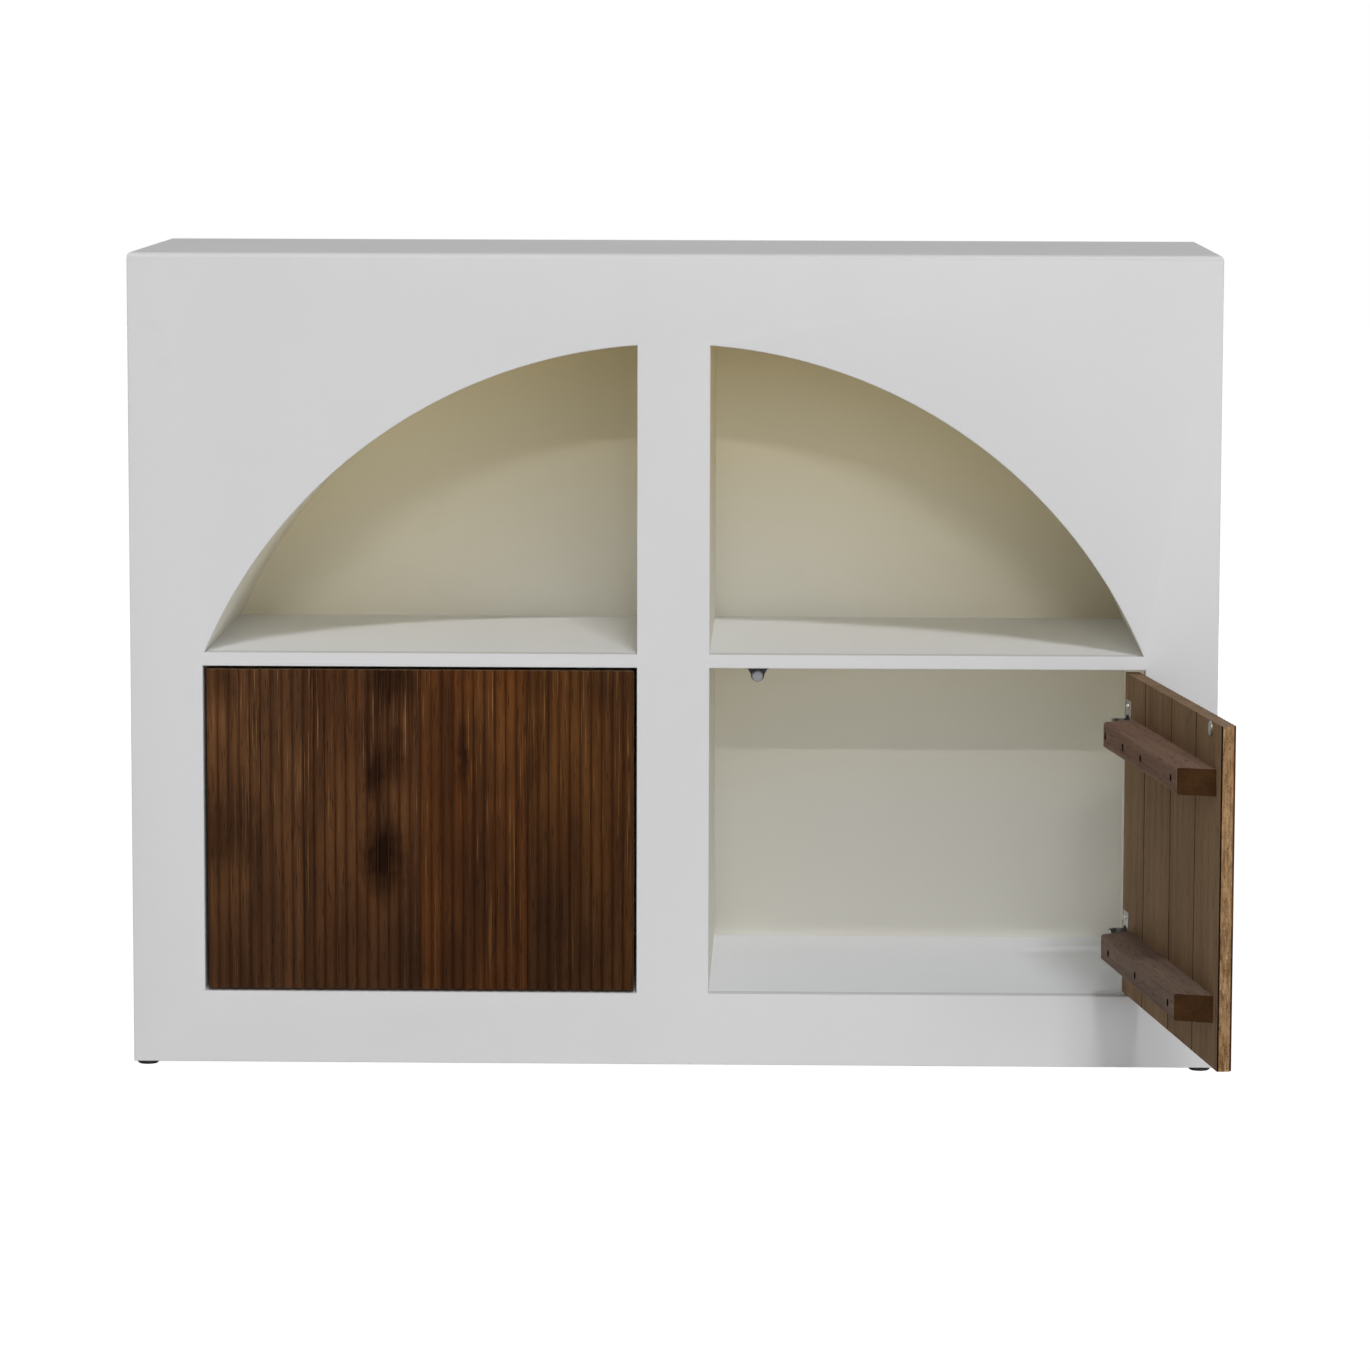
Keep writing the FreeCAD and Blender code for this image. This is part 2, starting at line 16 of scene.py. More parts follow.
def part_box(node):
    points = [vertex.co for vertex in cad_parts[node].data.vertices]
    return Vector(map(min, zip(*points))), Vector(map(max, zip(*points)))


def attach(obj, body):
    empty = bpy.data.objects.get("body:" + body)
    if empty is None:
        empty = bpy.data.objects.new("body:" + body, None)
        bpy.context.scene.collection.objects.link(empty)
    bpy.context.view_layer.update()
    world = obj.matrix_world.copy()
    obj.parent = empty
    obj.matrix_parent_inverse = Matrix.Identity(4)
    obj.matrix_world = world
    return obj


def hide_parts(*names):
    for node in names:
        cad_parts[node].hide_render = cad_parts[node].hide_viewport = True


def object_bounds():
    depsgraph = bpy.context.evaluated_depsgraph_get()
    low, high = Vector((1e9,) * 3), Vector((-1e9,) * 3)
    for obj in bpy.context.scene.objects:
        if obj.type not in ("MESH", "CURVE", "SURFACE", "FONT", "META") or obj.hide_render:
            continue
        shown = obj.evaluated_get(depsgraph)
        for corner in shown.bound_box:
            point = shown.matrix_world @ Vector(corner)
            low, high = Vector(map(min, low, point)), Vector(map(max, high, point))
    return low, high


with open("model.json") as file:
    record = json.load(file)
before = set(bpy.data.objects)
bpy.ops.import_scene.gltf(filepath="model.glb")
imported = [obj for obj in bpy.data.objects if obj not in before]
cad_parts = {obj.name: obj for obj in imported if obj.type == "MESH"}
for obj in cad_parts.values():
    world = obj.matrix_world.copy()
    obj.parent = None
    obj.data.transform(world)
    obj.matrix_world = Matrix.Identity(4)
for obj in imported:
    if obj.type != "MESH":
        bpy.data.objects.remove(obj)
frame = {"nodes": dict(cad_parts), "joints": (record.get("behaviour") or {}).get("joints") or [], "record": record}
CAD_BOX = [list(corner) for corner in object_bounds()]
MM = 0.001
print("nodes:", len(frame["nodes"]), "box:", CAD_BOX)

# %% [markdown]
# ## Hands for the work
# A modeller selects, extrudes, bevels and applies. These small helpers do the same by code. Each starts
# with nothing selected, because the loaded solids come in selected and an operator acts on all of them.

# %% Selecting and applying
HAIR = 0.1 * MM
TOUCH = 0.01 * MM
SAME_POINT = 0.005 * MM
BLUNT, SHARP = 0.5, 1.0


def start_fresh():
    if bpy.context.object and bpy.context.object.mode != "OBJECT":
        bpy.ops.object.mode_set(mode="OBJECT")
    bpy.ops.object.select_all(action="DESELECT")


def take_up(piece):
    start_fresh()
    piece.select_set(True)
    bpy.context.view_layer.objects.active = piece


def open_for_edit(piece, kind):
    take_up(piece)
    bpy.ops.object.mode_set(mode="EDIT")
    bpy.ops.mesh.select_mode(type=kind)
    bpy.ops.mesh.select_all(action="DESELECT")
    return bmesh.from_edit_mesh(piece.data)


def choose_points(piece, test):
    mesh = open_for_edit(piece, "VERT")
    for point in mesh.verts:
        point.select_set(test(point.co))
    bmesh.update_edit_mesh(piece.data)


def choose_edges(piece, test, least_angle=0.0):
    mesh = open_for_edit(piece, "EDGE")
    for edge in mesh.edges:
        if edge.calc_face_angle(math.pi) >= least_angle and all(test(v.co) for v in edge.verts):
            edge.select_set(True)
    bmesh.update_edit_mesh(piece.data)


def choose_faces(piece, test):
    mesh = open_for_edit(piece, "FACE")
    for face in mesh.faces:
        face.select_set(test(face))
    bmesh.update_edit_mesh(piece.data)


def choose_all(piece):
    open_for_edit(piece, "VERT")
    bpy.ops.mesh.select_all(action="SELECT")


def close_edit():
    bpy.ops.object.mode_set(mode="OBJECT")


def face_outwards(piece):
    choose_all(piece)
    bpy.ops.mesh.remove_doubles(threshold=SAME_POINT)
    bpy.ops.mesh.normals_make_consistent(inside=False)
    close_edit()


def apply_place(piece):
    take_up(piece)
    bpy.ops.object.transform_apply(location=True, rotation=True, scale=True)


def apply_modifiers(piece):
    take_up(piece)
    for modifier in list(piece.modifiers):
        bpy.ops.object.modifier_apply(modifier=modifier.name)


# %% Starting shapes, carving and copies
def block(name, low, high):
    start_fresh()
    bpy.ops.mesh.primitive_cube_add(size=1, location=(Vector(low) + Vector(high)) / 2)
    made = bpy.context.object
    made.name = name
    made.scale = Vector(high) - Vector(low)
    apply_place(made)
    return made


# A round bar from one point to another
def bar(name, start, end, radius, sides):
    start, end = Vector(start), Vector(end)
    start_fresh()
    turn = (end - start).to_track_quat("Z", "Y").to_euler()
    bpy.ops.mesh.primitive_cylinder_add(
        vertices=sides, radius=radius, depth=(end - start).length, location=(start + end) / 2, rotation=turn)
    made = bpy.context.object
    made.name = name
    apply_place(made)
    return made


def carve(piece, tool, operation="DIFFERENCE"):
    cut = piece.modifiers.new("carve", "BOOLEAN")
    cut.operation = operation
    cut.solver = "EXACT"
    cut.object = tool
    apply_modifiers(piece)
    bpy.data.objects.remove(tool)


# Only edges that turn by at least an angle, in radians, are rounded
def round_edges(piece, size, segments, test, least_angle=BLUNT):
    choose_edges(piece, test, least_angle)
    bpy.ops.mesh.bevel(offset=size, segments=segments, affect="EDGES", clamp_overlap=True)
    close_edit()


def resize_chosen(factors):
    bpy.ops.transform.resize(value=factors, center_override=(0, 0, 0))
    close_edit()


def copy_of(piece, name):
    take_up(piece)
    bpy.ops.object.duplicate()
    made = bpy.context.object
    made.name = name
    return made


def mirror_across(piece):
    choose_all(piece)
    resize_chosen((-1, 1, 1))
    face_outwards(piece)


def join_all(pieces, name):
    start_fresh()
    for piece in pieces:
        piece.select_set(True)
    bpy.context.view_layer.objects.active = pieces[0]
    bpy.ops.object.join()
    made = bpy.context.object
    made.name = name
    return made


# %% Handing a piece over to the frame
SMOOTH_BELOW = math.radians(35)
# A face looks along an axis, at a slant to it, or across it, by the share of its normal along the axis
ALONG, SLANTED, ACROSS = 0.9, 0.5, 0.1
made_pieces = []


def settle(piece, body, slot, node, *finishes):
    take_up(piece)
    bpy.ops.object.shade_smooth_by_angle(angle=SMOOTH_BELOW)
    for finish in finishes:
        piece.data.materials.append(finish)
    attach(piece, body)
    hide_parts(node)
    made_pieces.append((piece, node))


# %% [markdown]
# ## Hands for the finishes
# A finish is a tree of nodes. Each helper adds one node and links what it is given, so that a finish reads
# as a short list of steps. What several finishes share becomes a group, with named sockets for the rest.

# %% Node helpers
def srgb(red, green, blue):
    def linear(value):
        share = value / 255
        return share / 12.92 if share <= 0.04045 else ((share + 0.055) / 1.055) ** 2.4

    return (linear(red), linear(green), linear(blue), 1)


def add_node(tree, kind, inputs=None, **settings):
    made = tree.nodes.new(kind)
    for key, value in settings.items():
        setattr(made, key, value)
    for key, value in (inputs or {}).items():
        if isinstance(value, bpy.types.NodeSocket):
            tree.links.new(value, made.inputs[key])
        else:
            made.inputs[key].default_value = value
    return made


def math_node(tree, operation, first, second):
    return add_node(tree, "ShaderNodeMath", {0: first, 1: second}, operation=operation).outputs[0]


def vector_node(tree, operation, first, second):
    return add_node(tree, "ShaderNodeVectorMath", {0: first, 1: second}, operation=operation).outputs[0]


def scaled(tree, vector, factor):
    return add_node(tree, "ShaderNodeVectorMath", {0: vector, "Scale": factor}, operation="SCALE").outputs[0]


def length_of(tree, vector):
    return add_node(tree, "ShaderNodeVectorMath", {0: vector}, operation="LENGTH").outputs["Value"]


def noise(tree, vector, scale, detail=2.0, roughness=0.5, output="Fac"):
    made = add_node(tree, "ShaderNodeTexNoise", {
        "Vector": vector, "Scale": scale, "Detail": detail, "Roughness": roughness})
    return made.outputs[output]


def remap(tree, value, low, high, to_low=0.0, to_high=1.0):
    made = add_node(tree, "ShaderNodeMapRange", {
        "Value": value, "From Min": low, "From Max": high, "To Min": to_low, "To Max": to_high})
    return made.outputs["Result"]


def mix_values(tree, share, first, second):
    return add_node(tree, "ShaderNodeMix", {0: share, 2: first, 3: second}).outputs[0]


def mix_colours(tree, share, first, second):
    made = add_node(tree, "ShaderNodeMix", data_type="RGBA", clamp_factor=True)
    for socket, value in ((made.inputs[0], share), (made.inputs[6], first), (made.inputs[7], second)):
        if isinstance(value, bpy.types.NodeSocket):
            tree.links.new(value, socket)
        else:
            socket.default_value = value
    return made.outputs[2]


# A path that wanders a little off the straight one
def nudged(tree, vector, scale, amount):
    drift = noise(tree, vector, scale, output="Color")
    even = vector_node(tree, "SUBTRACT", drift, (0.5, 0.5, 0.5))
    return vector_node(tree, "ADD", vector, scaled(tree, even, amount))


# %% Groups and materials
def new_group(name, inputs, outputs):
    group = bpy.data.node_groups.new(name, "ShaderNodeTree")
    for title, kind in inputs.items():
        group.interface.new_socket(title, in_out="INPUT", socket_type="NodeSocket" + kind)
    for title in outputs:
        group.interface.new_socket(title, in_out="OUTPUT", socket_type="NodeSocketFloat")
    return group, group.nodes.new("NodeGroupInput").outputs, group.nodes.new("NodeGroupOutput").inputs


def lead_out(group, leave, values):
    for title, value in values.items():
        group.links.new(value, leave[title])
    print("group", group.name, "gives", ", ".join(values))


def use_group(tree, group, inputs):
    return add_node(tree, "ShaderNodeGroup", inputs, node_tree=group).outputs


def new_material(name):
    material = bpy.data.materials.new(name)
    material.use_nodes = True
    tree = material.node_tree
    tree.nodes.clear()
    shader = tree.nodes.new("ShaderNodeBsdfPrincipled")
    out = tree.nodes.new("ShaderNodeOutputMaterial")
    tree.links.new(shader.outputs[0], out.inputs["Surface"])
    return material, tree, shader


def object_place(tree, turn=0.0, shift=(0, 0, 0)):
    place = add_node(tree, "ShaderNodeTexCoord").outputs["Object"]
    if turn or any(shift):
        place = add_node(tree, "ShaderNodeMapping", {
            "Vector": place, "Rotation": (0, 0, turn), "Location": shift}).outputs[0]
    return place


def bump_from(tree, shader, height, distance, strength):
    bump = add_node(tree, "ShaderNodeBump", {"Height": height, "Distance": distance, "Strength": strength})
    tree.links.new(bump.outputs[0], shader.inputs["Normal"])


# %% [markdown]
# ## Camera
# The camera stands where the photograph was taken from: six metres away, a little right of the middle and
# just above the top, with a long lens. Its place comes from the corners of the carcass in the picture.

# %% Camera
SENSOR_WIDTH = 36.0
LENS = 140.717
FARTHEST_SEEN = 60.0
CAMERA_PLACE = (0.1372, -6.0632, 1.1404)
YAW, PITCH, ROLL = (math.radians(angle) for angle in (-1.2123, 6.894, 0.1512))


def aim(yaw, pitch, roll):
    forward = Vector((math.sin(yaw) * math.cos(pitch), math.cos(yaw) * math.cos(pitch), -math.sin(pitch)))
    level = Vector((math.cos(yaw), -math.sin(yaw), 0))
    right = level * math.cos(roll) + level.cross(forward) * math.sin(roll)
    up = right.cross(forward)
    return Matrix((right, up, -forward)).transposed().to_4x4()


scene = bpy.context.scene
camera = bpy.data.objects.new("camera", bpy.data.cameras.new("camera"))
scene.collection.objects.link(camera)
camera.data.sensor_width = SENSOR_WIDTH
camera.data.lens = LENS
camera.data.clip_end = FARTHEST_SEEN
camera.matrix_world = Matrix.Translation(CAMERA_PLACE) @ aim(YAW, PITCH, ROLL)
scene.camera = camera
print("camera at", CAMERA_PLACE, "lens", LENS)

# %% [markdown]
# ## Studio
# Most light comes from a panel high in front and a little to the right, which lights the shelves and lays
# the shadow of the arch on them. Two broad low panels, the right one stronger, lift the shadows. A thin
# strip far in front, above the object, throws a crisp shadow under a level edge, such as the shelf, and a
# softer one along the curve of the arch. A low panel behind keeps the back from going black.
# The room itself is dark, but a reflection finds it white.

# %% World and floor
ROOM_LIGHT = 0.232
REFLECTED_ROOM = 0.8
FLOOR_REACH = 30.0
WHITE_LIGHT = (1, 1, 1, 1)
scene.view_settings.view_transform = "Standard"
world = bpy.data.worlds.new("studio")
world.use_nodes = True
scene.world = world
room = world.node_tree
room.nodes.clear()
ray = add_node(room, "ShaderNodeLightPath").outputs
strength = math_node(room, "MULTIPLY", ray["Is Glossy Ray"], REFLECTED_ROOM)
strength = math_node(room, "MAXIMUM", strength, ray["Is Camera Ray"])
strength = math_node(room, "MAXIMUM", strength, ROOM_LIGHT)
backdrop = add_node(room, "ShaderNodeBackground", {"Color": WHITE_LIGHT, "Strength": strength})
add_node(room, "ShaderNodeOutputWorld", {"Surface": backdrop.outputs[0]})

start_fresh()
bpy.ops.mesh.primitive_plane_add(size=FLOOR_REACH, location=(0, 0, CAD_BOX[0][2]))
floor = bpy.context.object
floor.name = "studio_floor"
print("floor at height", CAD_BOX[0][2])

# %% Lights
CENTRE = (0.0, -0.2, 0.45)
# Name, place, what it faces, length, height and power
LIGHTS = (
    ("strip", (0.3, -12.2, 4.77), (0.3, -0.2, 0.45), 2.2, 0.09, 146),
    ("left_panel", (-2.6, -5.0, 1.10), CENTRE, 2.4, 1.6, 5.5),
    ("right_panel", (2.2, -5.4, 0.75), CENTRE, 3.0, 1.2, 37),
    ("overhead", (2.1, -12.9, 12.20), CENTRE, 3.2, 0.5, 1100),
    ("rear_panel", (0.0, 4.5, 0.46), (0.0, 0.2, 0.46), 3.0, 0.8, 60),
)


def area_light(name, place, target, length, height, power):
    lamp = bpy.data.lights.new(name, "AREA")
    lamp.shape = "RECTANGLE"
    lamp.size = length
    lamp.size_y = height
    lamp.energy = power
    made = bpy.data.objects.new(name, lamp)
    scene.collection.objects.link(made)
    made.location = place
    made.rotation_euler = (Vector(target) - Vector(place)).to_track_quat("-Z", "Y").to_euler()


for light in LIGHTS:
    area_light(*light)
print("lights:", len(LIGHTS))

# %% [markdown]
# ## Finishes
# Each finish is a small node tree on Object coordinates, so it stays on the piece as the doors swing.
# What several finishes share is built once as a group.
#
# ### Rolled paint
# The carcass is panel board with rolled satin paint. Close up it has the fine orange peel of a roller, and
# over a metre the coat is never quite even. A few faint rubbed marks keep it from looking printed. The
# cream of the niches and cupboards is painted deeper and yellower upwards and towards the arch, as painted
# shade where less light reaches, and a second group says how much.

# %% Paint skin group
ROLLER_WAY = (1.0, 1.0, 0.25)
PASS_SHARE = 0.5
MIDDLE_SWING = 0.75
RUBBED_SHADE = -0.05
PAINT_ROUGHNESS = (0.44, 0.54)
paint_skin, entry, leave = new_group(
    "rolled_paint", {"Vector": "Vector", "Unevenness": "Float"}, ("Shade", "Roughness", "Height"))
cloudy = noise(paint_skin, entry["Vector"], scale=2.6, detail=3.0)
passes = noise(paint_skin, vector_node(paint_skin, "MULTIPLY", entry["Vector"], ROLLER_WAY), scale=11.0)
spots = noise(paint_skin, entry["Vector"], scale=7.5, detail=5.0, roughness=0.65)
rubbed = remap(paint_skin, spots, 0.66, 0.8)
even = math_node(paint_skin, "ADD", cloudy, math_node(paint_skin, "MULTIPLY", passes, PASS_SHARE))
even = math_node(paint_skin, "SUBTRACT", even, MIDDLE_SWING)
swing = math_node(paint_skin, "MULTIPLY", even, entry["Unevenness"])
marks = math_node(paint_skin, "MULTIPLY", rubbed, RUBBED_SHADE)
shade = math_node(paint_skin, "ADD", math_node(paint_skin, "ADD", swing, marks), 1.0)
lead_out(paint_skin, leave, {
    "Shade": shade,
    "Roughness": remap(paint_skin, cloudy, 0.3, 0.7, *PAINT_ROUGHNESS),
    "Height": noise(paint_skin, entry["Vector"], scale=520.0, roughness=0.55)})

# %% Painted shade group
# Painted shade: a cupboard's cream is painted deeper and yellower towards its top, a niche's towards its top
# and its arch, where less light reaches. Outside is what lies beyond the middle of the back panel.
SHELF_LEVEL = 0.457
ARCH_MIDDLE = 0.244
CUPBOARD_PAINTED_SHADE = (0.24, 0.45, 0.0, 0.6)
NICHE_PAINTED_SHADE = (0.46, 0.80)
ARCH_PAINTED_SHADE = (0.30, 0.56)
BACK_MIDDLE = sum(corner.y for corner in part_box("back_panel")) / 2
painted_shade, entry, leave = new_group(
    "painted_shade", {"Vector": "Vector", "Arch Share": "Float"}, ("Painted Shade", "Outside"))
apart = add_node(painted_shade, "ShaderNodeSeparateXYZ", {0: entry["Vector"]}).outputs
rise = math_node(painted_shade, "SUBTRACT", apart["Z"], ARCH_MIDDLE)
spoke = add_node(painted_shade, "ShaderNodeCombineXYZ", {"X": apart["X"], "Z": rise}).outputs[0]
by_height = remap(painted_shade, apart["Z"], *NICHE_PAINTED_SHADE)
by_arch = remap(painted_shade, length_of(painted_shade, spoke), *ARCH_PAINTED_SHADE)
niche = mix_values(painted_shade, entry["Arch Share"], by_height, by_arch)
cupboard = remap(painted_shade, apart["Z"], *CUPBOARD_PAINTED_SHADE)
above = math_node(painted_shade, "GREATER_THAN", apart["Z"], SHELF_LEVEL)
lead_out(painted_shade, leave, {
    "Painted Shade": mix_values(painted_shade, above, cupboard, niche),
    "Outside": math_node(painted_shade, "GREATER_THAN", apart["Y"], BACK_MIDDLE)})

# %% Paints
WHITE = (0.740, 0.740, 0.750)
PAINT_SHINE = 0.1
PEEL_DEPTH = 0.05 * MM
PEEL_STRENGTH = 0.6


# The cream stops in the thickness of the back panel, whose outside is white like the rest
def paint(name, colour, unevenness, painted_shade_tone=None, arch_share=0.0):
    material, tree, shader = new_material(name)
    place = object_place(tree)
    skin = use_group(tree, paint_skin, {"Vector": place, "Unevenness": unevenness})
    # A second, deeper tone is mixed in as painted shade, where the group says less light reaches
    if painted_shade_tone:
        coat = use_group(tree, painted_shade, {"Vector": place, "Arch Share": arch_share})
        colour = mix_colours(tree, coat["Painted Shade"], colour + (1,), painted_shade_tone + (1,))
        colour = mix_colours(tree, coat["Outside"], colour, WHITE + (1,))
    tree.links.new(scaled(tree, colour, skin["Shade"]), shader.inputs["Base Color"])
    tree.links.new(skin["Roughness"], shader.inputs["Roughness"])
    shader.inputs["Specular IOR Level"].default_value = PAINT_SHINE
    bump_from(tree, shader, skin["Height"], PEEL_DEPTH, PEEL_STRENGTH)
    return material


white_paint = paint("white_paint", WHITE, 0.05)
# The second tone of the cream and of the lining is painted shade, deeper towards the top and the arch
cream_paint = paint("cream_paint", (0.875, 0.855, 0.770), 0.04, (0.840, 0.745, 0.490), arch_share=0.55)
lining_paint = paint("lining_paint", (0.900, 0.878, 0.800), 0.04, (0.830, 0.725, 0.470))
shelf_paint = paint("shelf_paint", (0.932, 0.957, 1.000), 0.05)
print("paints:", ", ".join(m.name for m in (white_paint, cream_paint, lining_paint, shelf_paint)))

# %% [markdown]
# ### Stained wood
# The doors are solid boards under a dark brown stain. Along the grain the figure is long and thin, so the
# noise is squeezed in that direction. Broad clouds show where the stain took unevenly and where the wood
# glows through, bands carry the grain's tone, fine lines the fibres, dark dashes the pores, and long pale
# lines the crests rubbed in sanding. A second group places a knot or a glowing spot.

# %% Wood figure group
FIBRE_RELIEF = 0.35
wood_figure, entry, leave = new_group(
    "wood_figure", dict.fromkeys(("Vector", "Along", "Cloud Along", "Line Along"), "Vector"),
    ("Cloud", "Glow", "Band", "Fibre", "Pore", "Fleck", "Height"))
wavy = nudged(wood_figure, entry["Vector"], scale=5.0, amount=0.006)
long_way = vector_node(wood_figure, "MULTIPLY", wavy, entry["Along"])
wide_way = vector_node(wood_figure, "MULTIPLY", entry["Vector"], entry["Cloud Along"])
line_way = vector_node(wood_figure, "MULTIPLY", entry["Vector"], entry["Line Along"])


def streaks(way, low, high, **grain):
    return remap(wood_figure, noise(wood_figure, way, **grain), low, high)


fibre = streaks(line_way, 0.32, 0.68, scale=330.0, detail=3.0, roughness=0.6)
pore = streaks(long_way, 0.62, 0.72, scale=900.0, detail=1.0)
fleck = streaks(line_way, 0.57, 0.70, scale=620.0, detail=3.0, roughness=0.7)
patchy = streaks(wide_way, 0.36, 0.54, scale=24.0)
raised = math_node(wood_figure, "MULTIPLY", fibre, FIBRE_RELIEF)
lead_out(wood_figure, leave, {
    "Cloud": streaks(wide_way, 0.40, 0.66, scale=13.0, detail=3.0, roughness=0.55),
    "Glow": streaks(wide_way, 0.46, 0.64, scale=17.0),
    "Band": streaks(long_way, 0.3, 0.7, scale=46.0, detail=3.0, roughness=0.55),
    "Fibre": fibre,
    "Pore": pore,
    "Fleck": math_node(wood_figure, "MULTIPLY", fleck, patchy),
    "Height": math_node(wood_figure, "SUBTRACT", raised, pore)})

# %% Wood spot group
# How far a point is from the middle of a spot, in the spot's own sizes and on a slightly swirled path
wood_spot, entry, leave = new_group(
    "wood_spot", dict.fromkeys(("Vector", "Middle", "Size"), "Vector"), ("Distance",))
swirled = nudged(wood_spot, entry["Vector"], scale=55.0, amount=0.022)
away = vector_node(wood_spot, "SUBTRACT", swirled, entry["Middle"])
in_sizes = vector_node(wood_spot, "DIVIDE", away, entry["Size"])
lead_out(wood_spot, leave, {"Distance": length_of(wood_spot, in_sizes)})

# %% Stained wood
SMOKE = srgb(42, 27, 19)
PORE = srgb(26, 14, 7)
KNOT = srgb(26, 12, 6)
PORE_SHARE = 0.7
KNOT_TEAR = 0.35
GLOW_FADE = (1.4, 0.2)
KNOT_FADE = (1.4, 0.5)
FOOT_FADE = (0.40, 0.12)
FLECK_RISE = (0.16, 0.36, 0.3, 1.0)
CLOUD_LEAST = 0.3
LINE_SQUEEZE = 0.3
WOOD_ROUGHNESS = (0.6, 0.75)
WOOD_SHINE = 0.04
WOOD_RELIEF = 0.25 * MM
WOOD_RELIEF_STRENGTH = 0.7


# Wood of four tones, from dark to rubbed. Along squeezes the figure, turn brings a door's own length back
# to the X axis, and foot is how much darker the door is made towards its bottom, where it also has fewer
# pale flecks.
# A glow is a place where the stain is thin, and a knot is a dark swirl.
def stained_wood(name, tones, along, turn=0.0, shift=(0, 0, 0), smoke=0.0, glow=0.0, pale=0.0, foot=0.0,
                 fibre=0.3, glows=(), knots=()):
    dark, middle, light, rubbed = [srgb(*tone) for tone in tones]
    material, tree, shader = new_material(name)
    place = object_place(tree, turn, shift)
    figure = use_group(tree, wood_figure, {
        "Vector": place, "Along": along,
        "Cloud Along": tuple(max(CLOUD_LEAST, part) for part in along),
        "Line Along": tuple(part if part == 1 else LINE_SQUEEZE * part for part in along)})

    def share_of(title, share):
        return math_node(tree, "MULTIPLY", figure[title], share)

    def distance(spot, size):
        return use_group(tree, wood_spot, {"Vector": place, "Middle": spot, "Size": size})["Distance"]

    colour = mix_colours(tree, figure["Band"], dark, middle)
    colour = mix_colours(tree, share_of("Fibre", fibre), colour, light)
    colour = mix_colours(tree, share_of("Glow", glow), colour, light)
    for spot, size, depth in glows:
        colour = mix_colours(tree, remap(tree, distance(spot, size), *GLOW_FADE, 0.0, depth), colour, light)
    colour = mix_colours(tree, share_of("Cloud", smoke), colour, SMOKE)
    worn = share_of("Fleck", pale)
    # Towards the bottom the door is made darker, with fewer pale flecks
    if foot:
        height = add_node(tree, "ShaderNodeSeparateXYZ", {0: object_place(tree)}).outputs["Z"]
        colour = mix_colours(tree, remap(tree, height, *FOOT_FADE, 0.0, foot), colour, SMOKE)
        worn = math_node(tree, "MULTIPLY", worn, remap(tree, height, *FLECK_RISE))
    colour = mix_colours(tree, share_of("Pore", PORE_SHARE), colour, PORE)
    colour = mix_colours(tree, worn, colour, rubbed)
    for spot, size, depth in knots:
        ragged = math_node(tree, "ADD", distance(spot, size), share_of("Fibre", KNOT_TEAR))
        colour = mix_colours(tree, remap(tree, ragged, *KNOT_FADE, 0.0, depth), colour, KNOT)
    tree.links.new(colour, shader.inputs["Base Color"])
    tree.links.new(remap(tree, figure["Fibre"], 0.0, 1.0, *WOOD_ROUGHNESS), shader.inputs["Roughness"])
    shader.inputs["Specular IOR Level"].default_value = WOOD_SHINE
    bump_from(tree, shader, figure["Height"], WOOD_RELIEF, WOOD_RELIEF_STRENGTH)
    return material


plain_wood = stained_wood(
    "plain_wood", ((150, 118, 78), (182, 150, 106), (200, 172, 130), (214, 190, 150)), (0.05, 1, 1), pale=0.4)
print("wood for the hidden rails:", plain_wood.name)

# %% [markdown]
# ### Metal and plastic
# The hinges are plated steel, brushed in the press and bright on their screw heads. The latches and the
# glides are moulded plastic with a fine grain. Each kind has a group for its skin, and each finish of that
# kind gives it a tone and a roughness.

# %% Steel and plastic groups
BRUSHED_WAY = (1.0, 1.0, 0.08)
brushed_steel, entry, leave = new_group("brushed_steel", {"Vector": "Vector"}, ("Cloud", "Lines"))
brushed = vector_node(brushed_steel, "MULTIPLY", entry["Vector"], BRUSHED_WAY)
lead_out(brushed_steel, leave, {
    "Cloud": noise(brushed_steel, entry["Vector"], scale=120.0),
    "Lines": noise(brushed_steel, brushed, scale=2400.0)})

moulded_plastic, entry, leave = new_group("moulded_plastic", {"Vector": "Vector"}, ("Cloud", "Grain"))
lead_out(moulded_plastic, leave, {
    "Cloud": noise(moulded_plastic, entry["Vector"], scale=60.0),
    "Grain": noise(moulded_plastic, entry["Vector"], scale=1800.0)})


# %% Steels and plastics
# The darkest share of the tone, how far the roughness swings, and the depth and strength of the relief
STEEL_DARKEST, PLASTIC_DARKEST = 0.85, 0.8
STEEL_SWING, PLASTIC_SWING = (-0.06, 0.08), (-0.05, 0.05)
STEEL_RELIEF, PLASTIC_RELIEF = (0.01 * MM, 0.4), (0.03 * MM, 0.5)


def clouded(tree, shader, cloud, tone, darkest):
    darker = tuple(darkest * part for part in tone)
    tree.links.new(mix_colours(tree, cloud, darker + (1,), tone + (1,)), shader.inputs["Base Color"])


def roughened(tree, shader, pattern, rough, swing):
    ends = [rough + step for step in swing]
    tree.links.new(remap(tree, pattern, 0.3, 0.7, *ends), shader.inputs["Roughness"])


def steel(name, tone, rough):
    material, tree, shader = new_material(name)
    skin = use_group(tree, brushed_steel, {"Vector": object_place(tree)})
    clouded(tree, shader, skin["Cloud"], tone, STEEL_DARKEST)
    roughened(tree, shader, skin["Lines"], rough, STEEL_SWING)
    shader.inputs["Metallic"].default_value = 1.0
    bump_from(tree, shader, skin["Lines"], *STEEL_RELIEF)
    return material


def plastic(name, tone, rough):
    material, tree, shader = new_material(name)
    skin = use_group(tree, moulded_plastic, {"Vector": object_place(tree)})
    clouded(tree, shader, skin["Cloud"], tone, PLASTIC_DARKEST)
    roughened(tree, shader, skin["Cloud"], rough, PLASTIC_SWING)
    bump_from(tree, shader, skin["Grain"], *PLASTIC_RELIEF)
    return material


